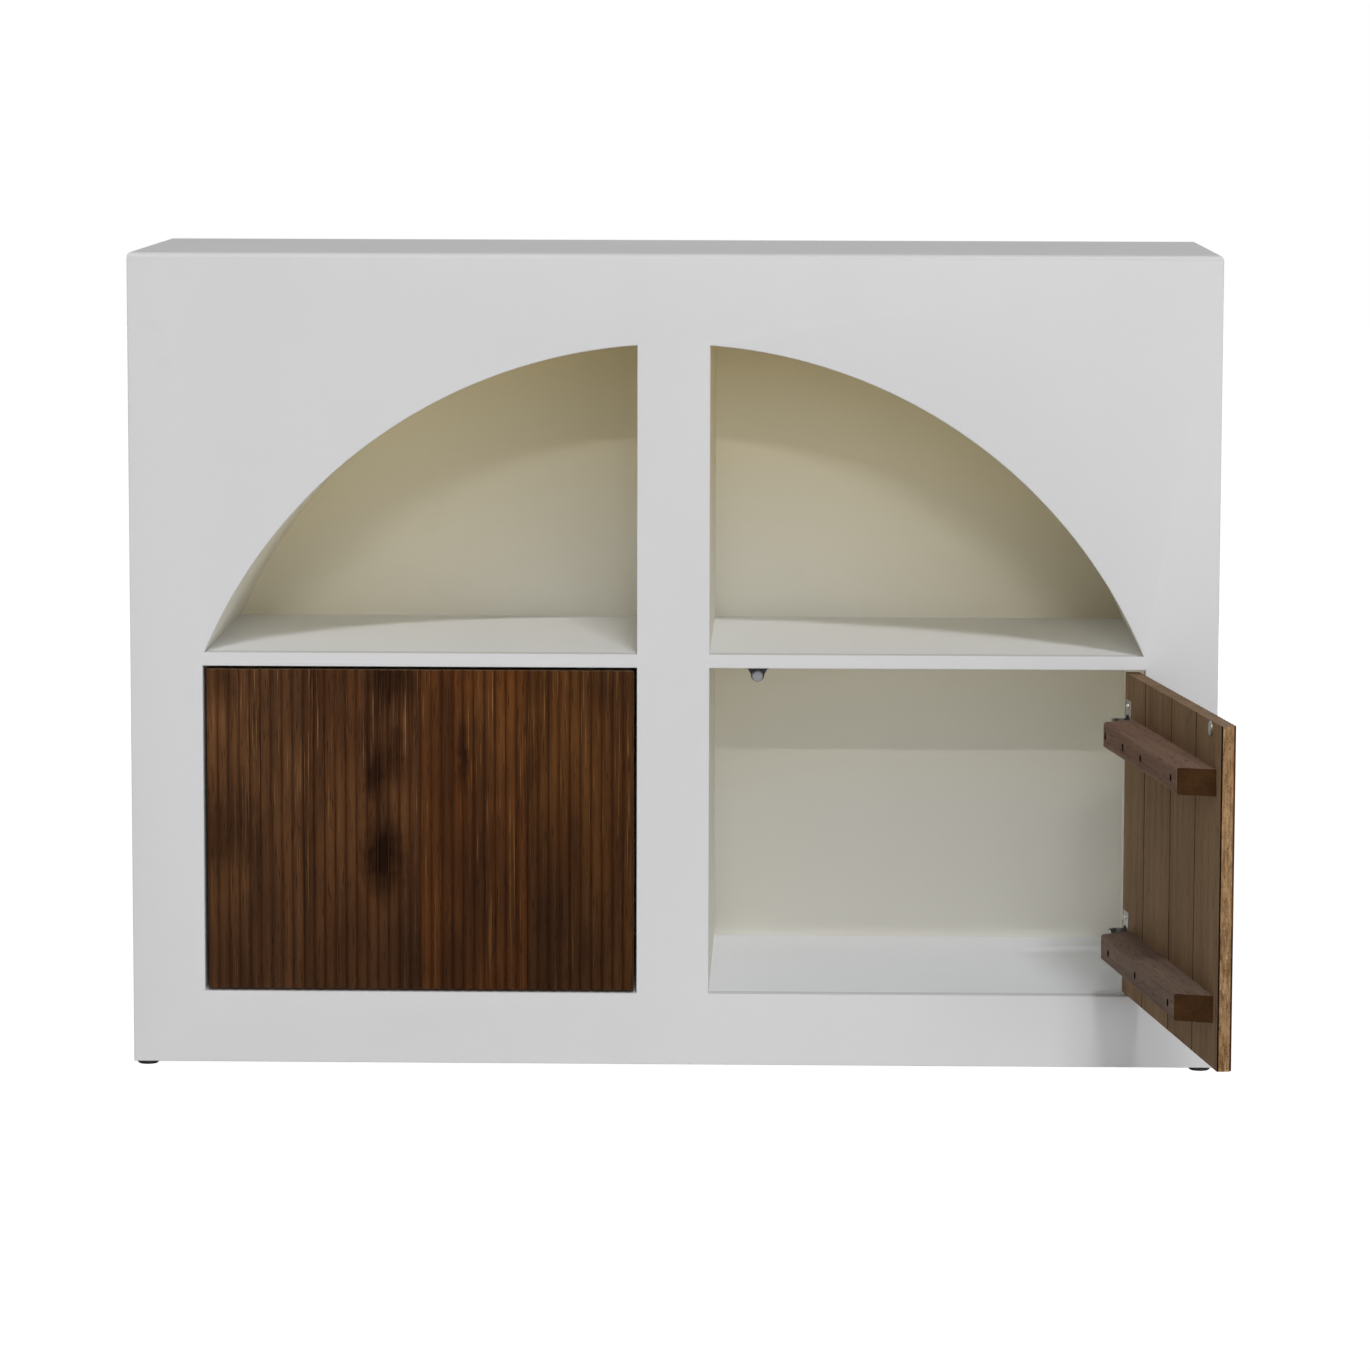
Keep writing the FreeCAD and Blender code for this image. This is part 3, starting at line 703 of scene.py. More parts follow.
hinge_steel = steel("hinge_steel", (0.44, 0.43, 0.41), 0.30)
screw_steel = steel("screw_steel", (0.68, 0.67, 0.65), 0.24)
dark_screw = steel("dark_screw", (0.10, 0.09, 0.085), 0.42)
black_plastic = plastic("black_plastic", (0.018, 0.018, 0.019), 0.45)
grey_plastic = plastic("grey_plastic", (0.30, 0.30, 0.31), 0.40)
print("materials so far:", len(bpy.data.materials))

# %% [markdown]
# ### Floor
# The floor is plain and pale. Seen by the camera it melts into the white room, so it glows a little there,
# and only the dark of a shadow stays.

# %% Floor finish
FLOOR_TONE = (0.86, 0.86, 0.86, 1)
FLOOR_ROUGHNESS = 0.9
FLOOR_GLOW = 1.11
GLOW_SEEN = 0.9
material, tree, shader = new_material("studio_floor")
shader.inputs["Base Color"].default_value = FLOOR_TONE
shader.inputs["Roughness"].default_value = FLOOR_ROUGHNESS
shine = add_node(tree, "ShaderNodeEmission", {"Color": WHITE_LIGHT, "Strength": FLOOR_GLOW})
seen = add_node(tree, "ShaderNodeLightPath").outputs["Is Camera Ray"]
share = math_node(tree, "MULTIPLY", seen, GLOW_SEEN)
both = add_node(tree, "ShaderNodeMixShader", {0: share, 1: shader.outputs[0], 2: shine.outputs[0]})
tree.links.new(both.outputs[0], tree.nodes["Material Output"].inputs["Surface"])
floor.data.materials.append(material)
print("floor finish:", material.name)

# %% [markdown]
# ## Carcass
# The panels are plain boards, so their solids stay and take the paint. White goes on what faces outwards,
# cream on what faces into the niches and cupboards, as in the photograph.

# %% Finishes on the solids that stay
FINISHES = {
    "white_paint": white_paint, "cream_paint": cream_paint, "plain_wood": plain_wood,
    "hinge_steel": hinge_steel, "black_plastic": black_plastic, "grey_plastic": grey_plastic}
slot_of = {part["node"]: part["material_slot"] for part in frame["record"]["subparts"]}
for node, solid in frame["nodes"].items():
    if slot_of[node] in FINISHES:
        solid.material_slots[0].material = FINISHES[slot_of[node]]
for node in ("left_shelf", "right_shelf", "floor_panel"):
    frame["nodes"][node].material_slots[0].material = shelf_paint
print("solids with a finish:", sum(slot in FINISHES for slot in slot_of.values()))

# %% [markdown]
# ### Front
# The front is one broad board with four openings and eased edges. It could be drawn face by face, but a
# joiner starts from the whole board and cuts, and so does this: a block, cutters for the doors, and a disc
# trimmed to a niche for each arch. The bevel comes last, only on the edges that face the room.

# %% Sizes of the front
front_low, front_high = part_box("front_panel")
OPENING_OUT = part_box("right_inner_wall")[0].x
OPENING_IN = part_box("right_post_cheek")[1].x
FLOOR_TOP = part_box("floor_panel")[1].z
SHELF_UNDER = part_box("right_shelf")[0].z
SHELF_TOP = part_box("right_shelf")[1].z
ARCH_FOOT_INSET = 2 * MM
CROWN_DROP = 99 * MM
ARCH_FOOT = OPENING_OUT - ARCH_FOOT_INSET
ARCH_CROWN = front_high.z - CROWN_DROP
ARCH_RISE = ARCH_CROWN - SHELF_TOP
ARCH_RADIUS = (ARCH_FOOT ** 2 + ARCH_RISE ** 2) / (2 * ARCH_RISE)
ARCH_CENTRE = ARCH_CROWN - ARCH_RADIUS
print("arch radius:", round(ARCH_RADIUS, 4), "centre at height", round(ARCH_CENTRE, 4))

# %% Front with its openings
CUT_PAST = 20 * MM
ARCH_SIDES = 360
TOP_CORNER = 6 * MM
FRONT_EASE = 1.6 * MM


def keep_above(piece, place, normal):
    choose_all(piece)
    bpy.ops.mesh.bisect(plane_co=place, plane_no=normal, clear_inner=True, use_fill=True)
    close_edit()


def niche_cutter(side):
    disc = bar("niche", (0, front_low.y - CUT_PAST, ARCH_CENTRE), (0, front_high.y + CUT_PAST, ARCH_CENTRE),
               ARCH_RADIUS, ARCH_SIDES)
    keep_above(disc, (0, 0, SHELF_TOP), (0, 0, 1))
    keep_above(disc, (side * OPENING_IN, 0, 0), (side, 0, 0))
    return disc


front = block("front_board", front_low, front_high)
round_edges(front, TOP_CORNER, 5, lambda p: p.z > front_high.z - MM and abs(p.x) > front_high.x - MM)
for side in (-1, 1):
    near, far = sorted((side * OPENING_IN, side * OPENING_OUT))
    carve(front, block("doorway", (near, front_low.y - CUT_PAST, FLOOR_TOP),
                       (far, front_high.y + CUT_PAST, SHELF_UNDER)))
    carve(front, niche_cutter(side))
round_edges(front, FRONT_EASE, 3, lambda p: p.y < front_low.y + HAIR, SHARP)
face_outwards(front)
for finish in (white_paint, lining_paint):
    front.data.materials.append(finish)
for face in front.data.polygons:
    in_niche = abs(face.center.x) < ARCH_FOOT and SHELF_TOP < face.center.z < ARCH_CROWN
    face.material_index = int(in_niche and abs(face.normal.y) < ACROSS)
settle(front, "carcass", "white_paint", "front_panel")
print("front faces:", len(front.data.polygons))

# %% [markdown]
# ### Niche linings
# Behind the front each arch goes on as a bent sheet. Its section is a thin upright strip, and spinning the
# strip about the arch's centre bends the sheet in one move, with no facets to hide.

# %% Bent linings
LINING = 6 * MM
LINING_STEPS = 96
lining_low, lining_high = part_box("right_arch_lining")
FIRST_ANGLE = math.asin(OPENING_IN / ARCH_RADIUS)
LAST_ANGLE = math.acos((SHELF_TOP - ARCH_CENTRE) / ARCH_RADIUS)
HUB = Vector((0, 0, ARCH_CENTRE))


def bent_lining(name, side):
    start_fresh()
    bpy.ops.mesh.primitive_plane_add(size=1)
    sheet = bpy.context.object
    sheet.name = name
    sheet.scale = (LINING, lining_high.y - lining_low.y, 1)
    sheet.rotation_euler = (0, -math.pi / 2, 0)
    sheet.location = (0, (lining_low.y + lining_high.y) / 2, ARCH_CENTRE + ARCH_RADIUS + LINING / 2)
    apply_place(sheet)
    sheet.rotation_euler = (0, side * FIRST_ANGLE, 0)
    sheet.location = HUB - Matrix.Rotation(side * FIRST_ANGLE, 3, "Y") @ HUB
    apply_place(sheet)
    choose_all(sheet)
    bpy.ops.mesh.spin(
        steps=LINING_STEPS, angle=-side * (LAST_ANGLE - FIRST_ANGLE), center=HUB, axis=(0, 1, 0))
    close_edit()
    face_outwards(sheet)
    return sheet


for side, word in ((-1, "left"), (1, "right")):
    sheet = bent_lining(word + "_niche_lining", side)
    settle(sheet, "carcass", "cream_paint", word + "_arch_lining", lining_paint)
print("linings bent by", round(math.degrees(LAST_ANGLE - FIRST_ANGLE), 1), "degrees")

# %% [markdown]
# ## Doors
# Each door is four solid boards side by side. The outside is milled into round reeds with narrow grooves;
# the inside is flat, with a fine V where two boards meet. One reed is cut from a round bar, an Array
# repeats it across the board, and the reeded sheet is pushed back to the board's thickness.

# %% The way the right door swings
joint = next(j for j in frame["joints"] if j["name"] == "right_door_hinge")
PIVOT = Vector((joint["pos_m"][0], joint["pos_m"][1], 0))
OPEN_ANGLE = math.radians(-joint["range_deg"][0])


# The same piece on the right door: mirrored across the middle, then swung open about the pins
def on_right_door(piece, name):
    twin = copy_of(piece, name)
    mirror_across(twin)
    choose_all(twin)
    bpy.ops.transform.rotate(value=-OPEN_ANGLE, orient_axis="Z", center_override=PIVOT)
    close_edit()
    return twin


# Each door has finishes of its own
def give_finishes(piece, twin, left, right):
    for finish in left:
        piece.data.materials.append(finish)
    for finish in right:
        twin.data.materials.append(finish)


print("pins at", PIVOT[:2], "open by", round(math.degrees(OPEN_ANGLE), 1), "degrees")

# %% Finishes of the boards
OUTSIDE = {
    1: ((66, 42, 26), (101, 65, 39), (134, 91, 56), (160, 120, 80)),
    2: ((54, 32, 19), (86, 53, 31), (117, 77, 45), (152, 110, 70)),
    3: ((63, 34, 16), (101, 57, 26), (132, 83, 41), (160, 114, 65)),
    4: ((55, 31, 15), (89, 53, 26), (120, 78, 40), (152, 110, 64)),
}
INSIDE = ((120, 96, 70), (148, 120, 91), (166, 137, 105), (182, 153, 120))
RAW_EDGE = ((96, 64, 36), (152, 115, 76), (204, 168, 124), (222, 194, 154))
# The V between boards is near black: stain pooled in it, deepened by painted shade
JOINT_STAIN_AND_SHADE = ((14, 8, 5), (19, 12, 7), (24, 15, 10), (28, 18, 12))
# The groove floors are painted a little darker: painted shade at the bottom of each groove
GROOVE_SHADE = 0.88
BOARD_GRAIN = (1, 1, 0.045)
EDGE_GRAIN = (1, 1, 0.5)
DOOR_SMOKE = 0.6
DOOR_FOOT = 0.4
# Knots, dark stains and glowing places of the left door: where across and up, half width, half height, and
# how strong
KNOTS = {
    1: ((-0.510, 0.436, 0.030, 0.040, 0.45), (-0.500, 0.258, 0.040, 0.055, 0.55)),
    2: ((-0.321, 0.237, 0.026, 0.052, 0.95), (-0.329, 0.331, 0.014, 0.040, 0.80),
        (-0.309, 0.354, 0.011, 0.032, 0.60), (-0.308, 0.436, 0.040, 0.034, 0.70)),
    3: ((-0.232, 0.345, 0.009, 0.036, 0.60),),
}
GLOWS = {
    1: ((-0.464, 0.350, 0.045, 0.050, 0.40),),
    2: ((-0.377, 0.275, 0.030, 0.090, 0.45),),
    3: ((-0.197, 0.370, 0.032, 0.075, 0.55),),
    4: ((-0.100, 0.350, 0.050, 0.080, 0.25),),
}
DOOR_FACE = -0.199
SPOT_DEPTH = 0.06
BOARD_STEP = Vector((0.37, 0.0, 0.61))
DOOR_STEP = {"left": Vector((0.0, 0.0, 0.0)), "right": Vector((0.0, 0.0, 3.7))}


# A spot's middle, sizes and strength, with the middle moved as the board's figure is
def moved_spots(spots, shift):
    return [(tuple(Vector((across, DOOR_FACE, up)) + shift), (half_width, SPOT_DEPTH, half_height), depth)
            for across, up, half_width, half_height, depth in spots]


# Every board has its own stretch of the figure, so that no two look alike
def board_finishes(door, number):
    shift = number * BOARD_STEP + DOOR_STEP[door]
    knots, glows = [
        moved_spots(spots.get(number, ()), shift) if door == "left" else () for spots in (KNOTS, GLOWS)]
    in_groove = [tuple(GROOVE_SHADE * part for part in tone) for tone in OUTSIDE[number]]
    title = "%s_board_%d_" % (door, number)
    return (
        stained_wood(title + "outside", OUTSIDE[number], BOARD_GRAIN, shift=shift, smoke=DOOR_SMOKE, glow=0.45,
                     pale=0.9, foot=DOOR_FOOT, glows=glows, knots=knots),
        stained_wood(title + "inside", INSIDE, BOARD_GRAIN, shift=shift, smoke=0.15, pale=0.15),
        stained_wood(title + "edge", RAW_EDGE, EDGE_GRAIN, shift=shift, smoke=0.3, pale=0.6, fibre=0.7),
        stained_wood(title + "joint", JOINT_STAIN_AND_SHADE, BOARD_GRAIN, shift=shift),
        stained_wood(title + "groove", in_groove, BOARD_GRAIN, shift=shift, smoke=DOOR_SMOKE, foot=DOOR_FOOT))


# The order of those finishes on a board
ON_OUTSIDE, ON_INSIDE, ON_EDGE, IN_JOINT, IN_GROOVE = range(5)
print("spots on the left door:", sum(len(spots) for kind in (KNOTS, GLOWS) for spots in kind.values()))

# %% One reeded board
REEDS = (9, 11, 10, 10)
GROOVE_DEPTH = 3 * MM
GROOVE_WIDTH = 1.2 * MM
GROOVE_FLOOR = 0.93 * GROOVE_DEPTH
REEDED_DEPTH = GROOVE_DEPTH + 0.5 * MM
REED_SIDES = 44
REED_END_EASE = 0.9 * MM
BOARD_VEE = 1.4 * MM
SAME_PLANE = math.radians(0.5)
cups = [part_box("left_%s_hinge_cup" % level) for level in ("upper", "lower")]
CUP_RADIUS = 17.5 * MM
CUP_SIDES = 64
BORE_SPARE = 0.05 * MM
FLANGE = 1.2 * MM
CUP_DEPTH = cups[0][1].y - FLANGE - cups[0][0].y


# One reed: the front of a round bar, with half a groove on either side
def one_reed(name, low, high, pitch):
    half_chord = (pitch - GROOVE_WIDTH) / 2
    radius = (half_chord ** 2 + GROOVE_DEPTH ** 2) / (2 * GROOVE_DEPTH)
    middle_x = low.x + pitch / 2
    groove_y = low.y + GROOVE_DEPTH
    start_fresh()
    bpy.ops.mesh.primitive_cylinder_add(
        vertices=REED_SIDES, radius=radius, depth=high.z - low.z, end_fill_type="NOTHING",
        location=(middle_x, low.y + radius, (low.z + high.z) / 2))
    reed = bpy.context.object
    reed.name = name
    apply_place(reed)
    choose_all(reed)
    bpy.ops.mesh.bisect(plane_co=(0, groove_y, 0), plane_no=(0, 1, 0), clear_outer=True)
    close_edit()
    for way in (-1, 1):
        choose_edges(reed, lambda p: p.y > groove_y - TOUCH and (p.x - middle_x) * way > 0)
        bpy.ops.mesh.extrude_edges_move(TRANSFORM_OT_translate={"value": (way * GROOVE_WIDTH / 2, 0, 0)})
        close_edit()
    return reed


# The row of reeds, pushed back to a flat inner face
def row_of_reeds(board, count, pitch, low, high):
    row = board.modifiers.new("row", "ARRAY")
    row.count = count
    row.use_relative_offset = False
    row.use_constant_offset = True
    row.constant_offset_displace = (pitch, 0, 0)
    row.use_merge_vertices = True
    row.merge_threshold = 2 * TOUCH
    apply_modifiers(board)
    choose_all(board)
    bpy.ops.mesh.extrude_region_move(TRANSFORM_OT_translate={"value": (0, high.y - low.y, 0)})
    bpy.ops.transform.resize(value=(1, 0, 1), center_override=(0, high.y, 0))
    close_edit()
    face_outwards(board)


# Reed ends and board edges are broken with a touch of the plane; between the two, the strips of each flat
# face are melted into one, so that the plane has room
def break_edges(board, low, high):
    round_edges(board, REED_END_EASE, 2,
                lambda p: p.y < high.y - MM and not low.z + MM < p.z < high.z - MM, SHARP)
    choose_faces(board, lambda face: face.normal.y > 0.99 or abs(face.normal.z) > 0.999)
    bpy.ops.mesh.dissolve_limited(angle_limit=SAME_PLANE)
    close_edit()
    round_edges(board, BOARD_VEE, 1,
                lambda p: p.y > high.y - HAIR and not low.x + HAIR < p.x < high.x - HAIR, SHARP)


def bore_for_cups(board, high):
    for cup_low, cup_high in cups:
        at = (cup_low + cup_high) / 2
        carve(board, bar("bore", (at.x, high.y - CUP_DEPTH - BORE_SPARE, at.z), (at.x, high.y + MM, at.z),
                         CUP_RADIUS + BORE_SPARE, CUP_SIDES))


def finish_of(face, number, low):
    if face.center.y <= low.y + REEDED_DEPTH and abs(face.normal.z) <= ALONG:
        return IN_GROOVE if face.center.y > low.y + GROOVE_FLOOR else ON_OUTSIDE
    if face.normal.y > SLANTED and abs(face.normal.x) > SLANTED:
        return IN_JOINT
    return ON_EDGE if number == len(REEDS) and face.normal.x > ALONG else ON_INSIDE


# %% Boards of both doors
for number, reeds in enumerate(REEDS, start=1):
    node = "left_door_board_%d" % number
    low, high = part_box(node)
    pitch = (high.x - low.x) / reeds
    board = one_reed("left_reeded_board_%d" % number, low, high, pitch)
    row_of_reeds(board, reeds, pitch, low, high)
    break_edges(board, low, high)
    if number == 1:
        bore_for_cups(board, high)
    face_outwards(board)
    for face in board.data.polygons:
        face.material_index = finish_of(face, number, low)
    twin = on_right_door(board, "right_reeded_board_%d" % number)
    give_finishes(board, twin, board_finishes("left", number), board_finishes("right", number))
    settle(board, "left_door", "dark_wood", node)
    settle(twin, "right_door", "dark_wood", "right_door_board_%d" % number)
    print(board.name, "triangles:", sum(len(f.vertices) - 2 for f in board.data.polygons))

# %% [markdown]
# ### Battens
# Two stout battens hold each door's boards together. Their ends are cut on the slant and their front edges
# are rounded over. Each screw sinks down a deep round hole, whose walls are painted near black as painted
# shade, so it shows only as a dark dot.

# %% Finishes of the battens
BATTEN = {
    "upper": ((106, 80, 66), (139, 111, 94), (158, 131, 113), (174, 148, 130)),
    "lower": ((98, 80, 69), (131, 111, 98), (151, 130, 116), (166, 145, 131)),
}
BATTEN_END = ((50, 32, 16), (70, 46, 25), (84, 58, 33), (94, 68, 40))
# The walls of the holes are painted near black: painted shade deep in the hole
HOLE_SHADE = ((12, 8, 5), (17, 12, 8), (22, 16, 11), (26, 19, 14))
BATTEN_GRAIN = (0.05, 1, 1)
END_GRAIN = (0.6, 1, 1)
BATTEN_SHIFT = {"upper": (0.2, 0.3, 0.7), "lower": (0.2, 1.1, 0.7)}


def batten_finishes(door, level):
    turn = 0.0 if door == "left" else -OPEN_ANGLE
    shift = BATTEN_SHIFT[level]
    title = "%s_%s_batten_" % (door, level)
    return (
        stained_wood(title + "face", BATTEN[level], BATTEN_GRAIN, turn, shift, smoke=0.15, pale=0.3),
        stained_wood(title + "end", BATTEN_END, END_GRAIN, turn, shift),
        stained_wood(title + "holes", HOLE_SHADE, (1, 1, 1), turn, shift))


# The order of those finishes on a batten
ON_FACE, ON_END, IN_HOLE = range(3)

# %% Battens
BATTEN_SLANT = 18 * MM
BATTEN_EASE = 4 * MM
COUNTERBORE = 4.2 * MM
COUNTERBORE_DEPTH = 18 * MM
COUNTERBORE_SIDES = 32
SCREW_INSET_HINGE = 12 * MM
SCREW_INSET_FREE = 26 * MM
END_LOOKS = 0.6
SCREW_SHARES = {"upper": (0.0, 0.28, 0.55, 1.0), "lower": (0.09, 0.51, 1.0)}


def batten_screw_places(level):
    low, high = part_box("left_%s_batten" % level)
    first = low.x + BATTEN_SLANT + SCREW_INSET_HINGE
    last = high.x - BATTEN_SLANT - SCREW_INSET_FREE
    seat = high.y - COUNTERBORE_DEPTH
    middle_z = (low.z + high.z) / 2
    return [Vector((first + share * (last - first), seat, middle_z)) for share in SCREW_SHARES[level]]


def batten_finish_of(face, low, high, seats):
    at = face.center
    if low.y + MM < at.y < high.y - HAIR and any(
            math.hypot(at.x - seat.x, at.z - seat.z) < COUNTERBORE + HAIR for seat in seats):
        return IN_HOLE
    past_slant = not low.x + BATTEN_SLANT < at.x < high.x - BATTEN_SLANT
    return ON_END if past_slant and abs(face.normal.x) > END_LOOKS else ON_FACE


for level in ("upper", "lower"):
    low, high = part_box("left_%s_batten" % level)
    seats = batten_screw_places(level)
    batten = block("left_%s_door_batten" % level, low, high)
    for way, end in ((1, low.x), (-1, high.x)):
        choose_points(batten, lambda p: abs(p.x - end) < MM and p.y > high.y - MM)
        bpy.ops.transform.translate(value=(way * BATTEN_SLANT, 0, 0))
        close_edit()
    round_edges(batten, BATTEN_EASE, 4, lambda p: p.y > high.y - HAIR)
    for seat in seats:
        carve(batten, bar("counterbore", seat, (seat.x, high.y + MM, seat.z), COUNTERBORE, COUNTERBORE_SIDES))
    face_outwards(batten)
    for face in batten.data.polygons:
        face.material_index = batten_finish_of(face, low, high, seats)
    twin = on_right_door(batten, "right_%s_door_batten" % level)
    give_finishes(batten, twin, batten_finishes("left", level), batten_finishes("right", level))
    settle(batten, "left_door", "dark_wood", "left_%s_batten" % level)
    settle(twin, "right_door", "dark_wood", "right_%s_batten" % level)
    print(batten.name, "screws:", len(seats))

# %% [markdown]
# ### Hinge cups
# A concealed hinge sits in a round pot let into the door, with a flat flange screwed to the wood. The pot
# starts as a short round bar and grows together with the flange, a plate with round corners. Both are
# hollowed, and two lugs are set in to carry the pin.

# %% Hinge cups
CUP_WALL = 1 * MM
FLANGE_WIDTH = 24 * MM
FLANGE_CORNER = 6 * MM
RIM_EASE = 0.35 * MM
EYE_HALF = 4.8 * MM
LUG_GAP = 0.4 * MM
LUG = 3 * MM
LUG_TOP = 2.75 * MM
LUG_ROUND = 1.5 * MM


def hinge_cup(name, low, high):
    at = (low + high) / 2
    half_width = FLANGE_WIDTH / 2
    pot = bar(name, (at.x, low.y, at.z), (at.x, high.y, at.z), CUP_RADIUS, CUP_SIDES)
    plate = block("flange", (at.x - half_width, high.y - FLANGE, low.z), (at.x + half_width, high.y, high.z))
    round_edges(plate, FLANGE_CORNER, 6,
                lambda p: abs(p.x - at.x) > half_width - MM and abs(p.z - at.z) > (high.z - low.z) / 2 - MM)
    carve(pot, plate, "UNION")
    carve(pot, bar("hollow", (at.x, low.y + CUP_WALL, at.z), (at.x, high.y + MM, at.z),
                   CUP_RADIUS - CUP_WALL, CUP_SIDES))
    for way in (-1, 1):
        near, far = sorted(at.z + way * (EYE_HALF + LUG_GAP + thick) for thick in (0, LUG))
        lug = block("lug", (-PIVOT.x - LUG, low.y + CUP_WALL / 2, near),
                    (-PIVOT.x + LUG, PIVOT.y + LUG_TOP, far))
        round_edges(lug, LUG_ROUND, 3, lambda p: p.y > PIVOT.y)
        carve(pot, lug, "UNION")
    round_edges(pot, RIM_EASE, 2, lambda p: p.y > high.y - HAIR / 2, SHARP)
    face_outwards(pot)
    return pot


for level, (low, high) in zip(("upper", "lower"), cups):
    cup = hinge_cup("left_%s_cup" % level, low, high)
    twin = on_right_door(cup, "right_%s_cup" % level)
    settle(cup, "left_door", "hinge_steel", "left_%s_hinge_cup" % level, hinge_steel)
    settle(twin, "right_door", "hinge_steel", "right_%s_hinge_cup" % level, hinge_steel)
    print(cup.name, "faces:", len(cup.data.polygons))

# %% [markdown]
# ## Screws
# Every fitting is held by cross-head screws. Each kind is turned once: a bar for the head, its rim rounded,
# the cross cut with two narrow tapering blades, and a thinner bar for the shank. Copies then go to their
# seats.

# %% Screw patterns
SHANK = 1.75 * MM
HEAD = 3.2 * MM
HEAD_HEIGHT = 1.8 * MM
HEAD_SIDES = 28
SHANK_SIDES = 16
HEAD_ROUND = 0.75
CROSS_WIDTH = 0.34
CROSS_REACH = 1.2
CROSS_DEPTH = 0.55
BLADE_TAPER = 0.6
POINT_TAPER = 0.3
STEM_BELOW_TOP = 0.6
STEM_SHORTER = 0.4 * MM


# A screw standing head up at the origin, with its seat at zero
def screw_pattern(name, length, head=HEAD, height=HEAD_HEIGHT, shank=SHANK, flush=False):
    top = 0.0 if flush else height
    screw = bar(name, (0, 0, -(head - shank) if flush else 0), (0, 0, top), head, HEAD_SIDES)
    if flush:
        choose_points(screw, lambda p: p.z < -HAIR)
        resize_chosen((shank / head, shank / head, 1))
    else:
        round_edges(screw, HEAD_ROUND * height, 4, lambda p: p.z > top - HAIR)
    stem_top = top - STEM_BELOW_TOP * height - STEM_SHORTER
    stem = bar("stem", (0, 0, -length), (0, 0, stem_top), shank, SHANK_SIDES)
    choose_points(stem, lambda p: p.z < -length + HAIR)
    resize_chosen((POINT_TAPER, POINT_TAPER, 1))
    carve(screw, stem, "UNION")
    reach = CROSS_REACH * head / 2
    width = CROSS_WIDTH * head / 2
    for long_x, long_y in ((reach, width), (width, reach)):
        blade = block("blade", (-long_x, -long_y, top - CROSS_DEPTH * height), (long_x, long_y, top + MM))
        choose_points(blade, lambda p: p.z < top)
        resize_chosen((BLADE_TAPER, BLADE_TAPER, 1))
        carve(screw, blade)
    face_outwards(screw)
    return screw


pan_screw = screw_pattern("pan_screw", 12 * MM)
short_screw = screw_pattern("short_screw", 9 * MM)
wall_screw = screw_pattern("wall_screw", 10 * MM)
flush_screw = screw_pattern("flush_screw", 12 * MM, flush=True)
back_screw = screw_pattern("back_screw", 22 * MM, flush=True)
batten_screw = screw_pattern("batten_screw", 31 * MM, 3.8 * MM, 2.5 * MM, 2 * MM)
PATTERNS = (pan_screw, short_screw, wall_screw, flush_screw, back_screw, batten_screw)
print("screw patterns:", len(PATTERNS))

# %% Seating a screw
FIRST_STOP = 0.3
NEXT_STOP = 0.9
INWARD, UNDER = (0, 1, 0), (0, 0, -1)
TO_LEFT, TO_RIGHT = (-1, 0, 0), (1, 0, 0)


def seated(pattern, seat, out, spin):
    screw = copy_of(pattern, "seated_screw")
    turn = Vector(out).to_track_quat("Z", "Y").to_matrix().to_4x4()
    screw.matrix_world = Matrix.Translation(seat) @ turn @ Matrix.Rotation(spin, 4, "Z")
    apply_place(screw)
    return screw


# The driver never stops at the same angle twice
def screw_row(name, pattern, seats, out):
    print(name, len(seats))
    return join_all(
        [seated(pattern, seat, out, NEXT_STOP * k + FIRST_STOP) for k, seat in enumerate(seats)], name)


def flipped(seats):
    return [Vector((-s.x, s.y, s.z)) for s in seats]


# %% Screws of the doors
FLANGE_SCREW_REACH = 26 * MM
HINGE_LEVELS = [(low.z + high.z) / 2 for low, high in cups]
cup_x = (cups[0][0].x + cups[0][1].x) / 2
flange_seats = [
    Vector((cup_x, cups[0][1].y, z + way * FLANGE_SCREW_REACH)) for z in HINGE_LEVELS for way in (-1, 1)]
strike_low, strike_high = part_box("left_strike_disc")
strike_seat = Vector(((strike_low.x + strike_high.x) / 2, strike_high.y, (strike_low.z + strike_high.z) / 2))

fitting = join_all([
    screw_row("flange_screws", pan_screw, flange_seats, INWARD),
    screw_row("strike_screw", flush_screw, [strike_seat], INWARD)], "left_fitting_screw_heads")
twin = on_right_door(fitting, "right_fitting_screw_heads")
settle(fitting, "left_door", "hinge_steel", "left_door_fitting_screws", screw_steel)
settle(twin, "right_door", "hinge_steel", "right_door_fitting_screws", screw_steel)

sunk_seats = batten_screw_places("upper") + batten_screw_places("lower")
sunk = screw_row("left_sunk_screws", batten_screw, sunk_seats, INWARD)
twin = on_right_door(sunk, "right_sunk_screws")
settle(sunk, "left_door", "hinge_steel", "left_batten_screws", dark_screw)
settle(twin, "right_door", "hinge_steel", "right_batten_screws", dark_screw)

# %% Screws of the hinge arms and plates
CRANK = 4 * MM
ARM_SHEET = 1.25 * MM
ARM_SCREW_BACK = 28 * MM
PLATE = 2 * MM
PLATE_SCREW_REACH = 16 * MM
arm_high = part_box("right_upper_hinge_arm")[1]
plate_low, plate_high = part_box("right_upper_hinge_plate")
arm_seats = [Vector((PIVOT.x - CRANK - ARM_SHEET, arm_high.y - ARM_SCREW_BACK, z)) for z in HINGE_LEVELS]
wing_y = (plate_low.y + plate_high.y) / 2
plate_seats = [
    Vector((plate_high.x - PLATE, wing_y, z + way * PLATE_SCREW_REACH))
    for z in HINGE_LEVELS for way in (-1, 1)]
arm_screws = join_all([
    screw_row("right_arm_screws", short_screw, arm_seats, TO_LEFT),
    screw_row("left_arm_screws", short_screw, flipped(arm_seats), TO_RIGHT)], "hinge_arm_screw_heads")
settle(arm_screws, "carcass", "hinge_steel", "hinge_arm_screws", screw_steel)
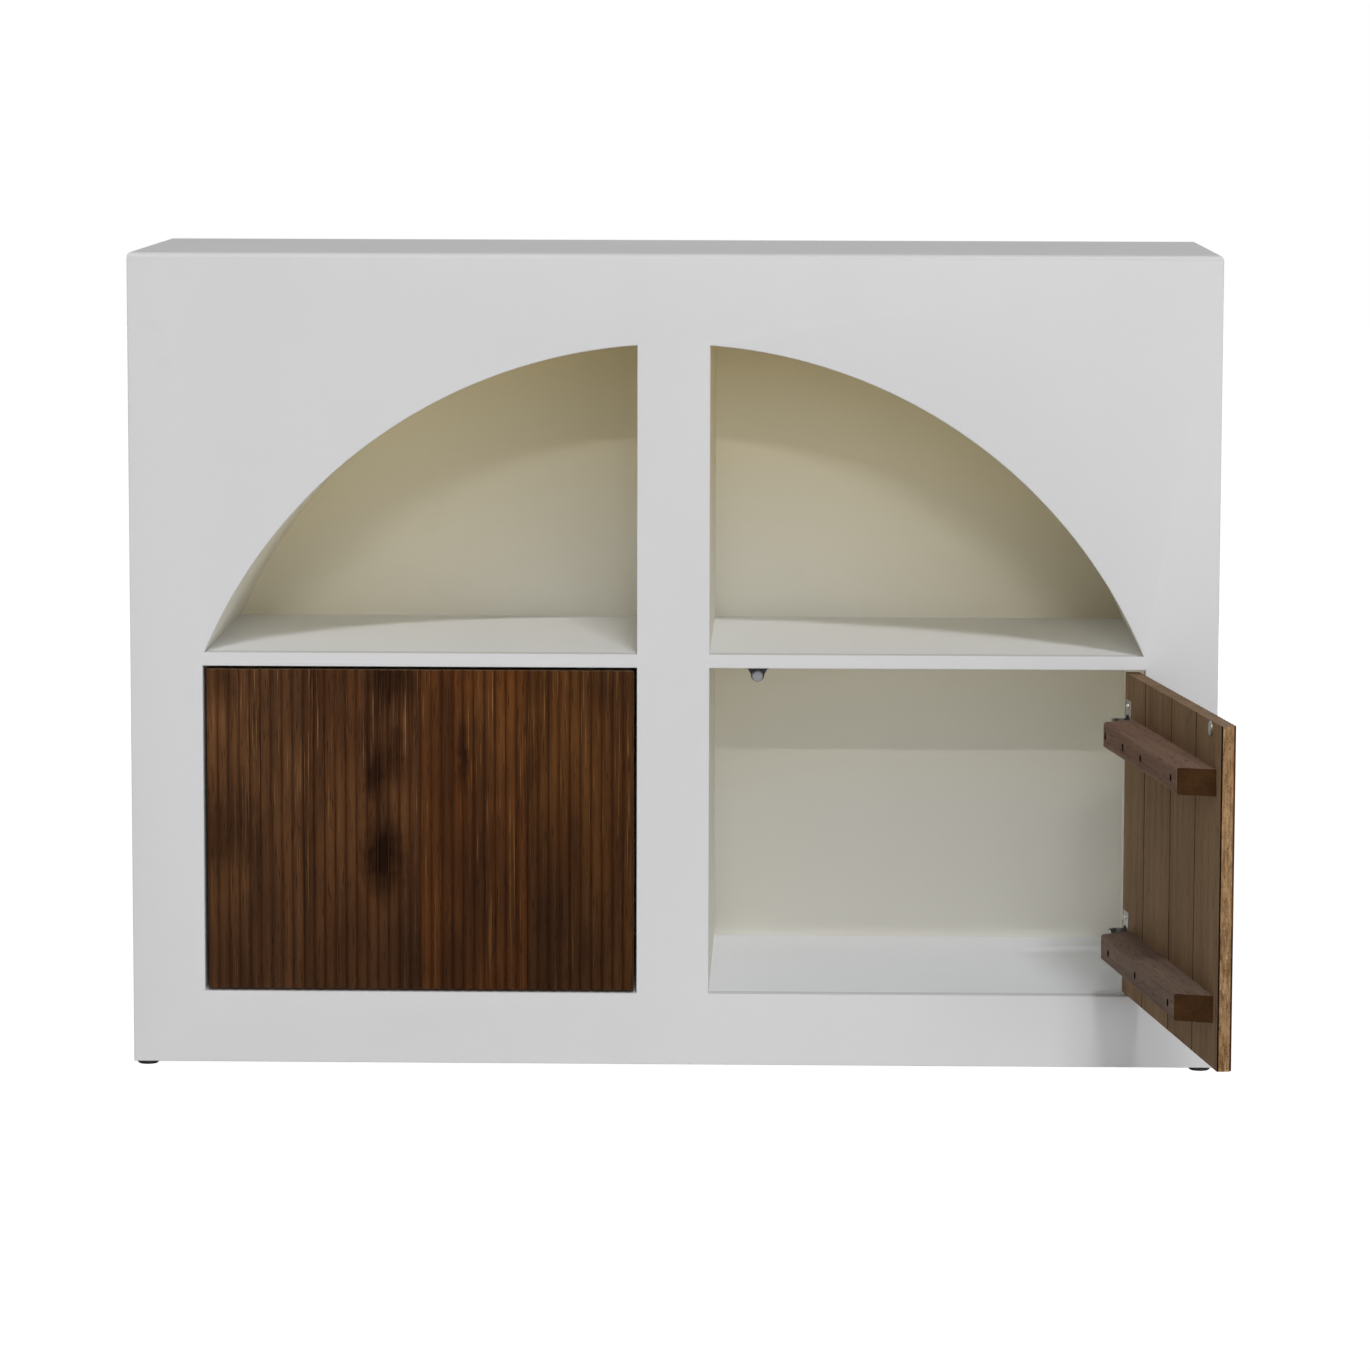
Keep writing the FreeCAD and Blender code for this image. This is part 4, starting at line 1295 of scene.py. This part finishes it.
for word, seats, out in (("right", plate_seats, TO_LEFT), ("left", flipped(plate_seats), TO_RIGHT)):
    row = screw_row(word + "_plate_screw_heads", wall_screw, seats, out)
    settle(row, "carcass", "hinge_steel", word + "_hinge_plate_screws", screw_steel)

# %% Screws of the latches and the back
LATCH_SCREW_REACH = 9.6 * MM
LATCH_EAR = 3 * MM
latch_low, latch_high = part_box("right_latch_housing")
latch_x = (latch_low.x + latch_high.x) / 2
latch_y = (latch_low.y + latch_high.y) / 2
latch_seats = [
    Vector((latch_x + way * LATCH_SCREW_REACH, latch_y, SHELF_UNDER - LATCH_EAR)) for way in (-1, 1)]
row = screw_row("latch_screw_heads", wall_screw, latch_seats + flipped(latch_seats), UNDER)
settle(row, "carcass", "hinge_steel", "latch_screws", dark_screw)

CHEEK_HALF = 6 * MM
back_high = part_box("back_panel")[1]
floor_low, floor_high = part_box("floor_panel")
bay_x = (OPENING_IN + back_high.x) / 2
levels = (
    ((floor_low.z + floor_high.z) / 2, (bay_x, OPENING_OUT)),
    ((front_low.z + floor_low.z) / 2, (bay_x,)),
    ((SHELF_UNDER + SHELF_TOP) / 2, (bay_x, OPENING_OUT)),
    ((SHELF_TOP + back_high.z) / 2, (OPENING_IN - CHEEK_HALF,)))
back_seats = [Vector((x, back_high.y, z)) for z, places in levels for x in places]
row = screw_row("back_screw_heads", back_screw, back_seats + flipped(back_seats), INWARD)
settle(row, "carcass", "hinge_steel", "back_panel_screws", screw_steel)

for pattern in PATTERNS:
    bpy.data.objects.remove(pattern)

# %% [markdown]
# ## Finish
# Every new piece is measured against the solid that it stands for.

# %% Every new piece lies where its solid lies
worst = 0.0
for piece, node in made_pieces:
    low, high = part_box(node)
    off = 0.0
    for axis in range(3):
        reach = [v.co[axis] for v in piece.data.vertices]
        off = max(off, abs(min(reach) - low[axis]), abs(max(reach) - high[axis]))
    worst = max(worst, off)
    print("%-28s off by %.2f mm" % (piece.name, off / MM))
print("largest difference: %.2f mm" % (worst / MM))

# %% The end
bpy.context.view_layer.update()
start_fresh()
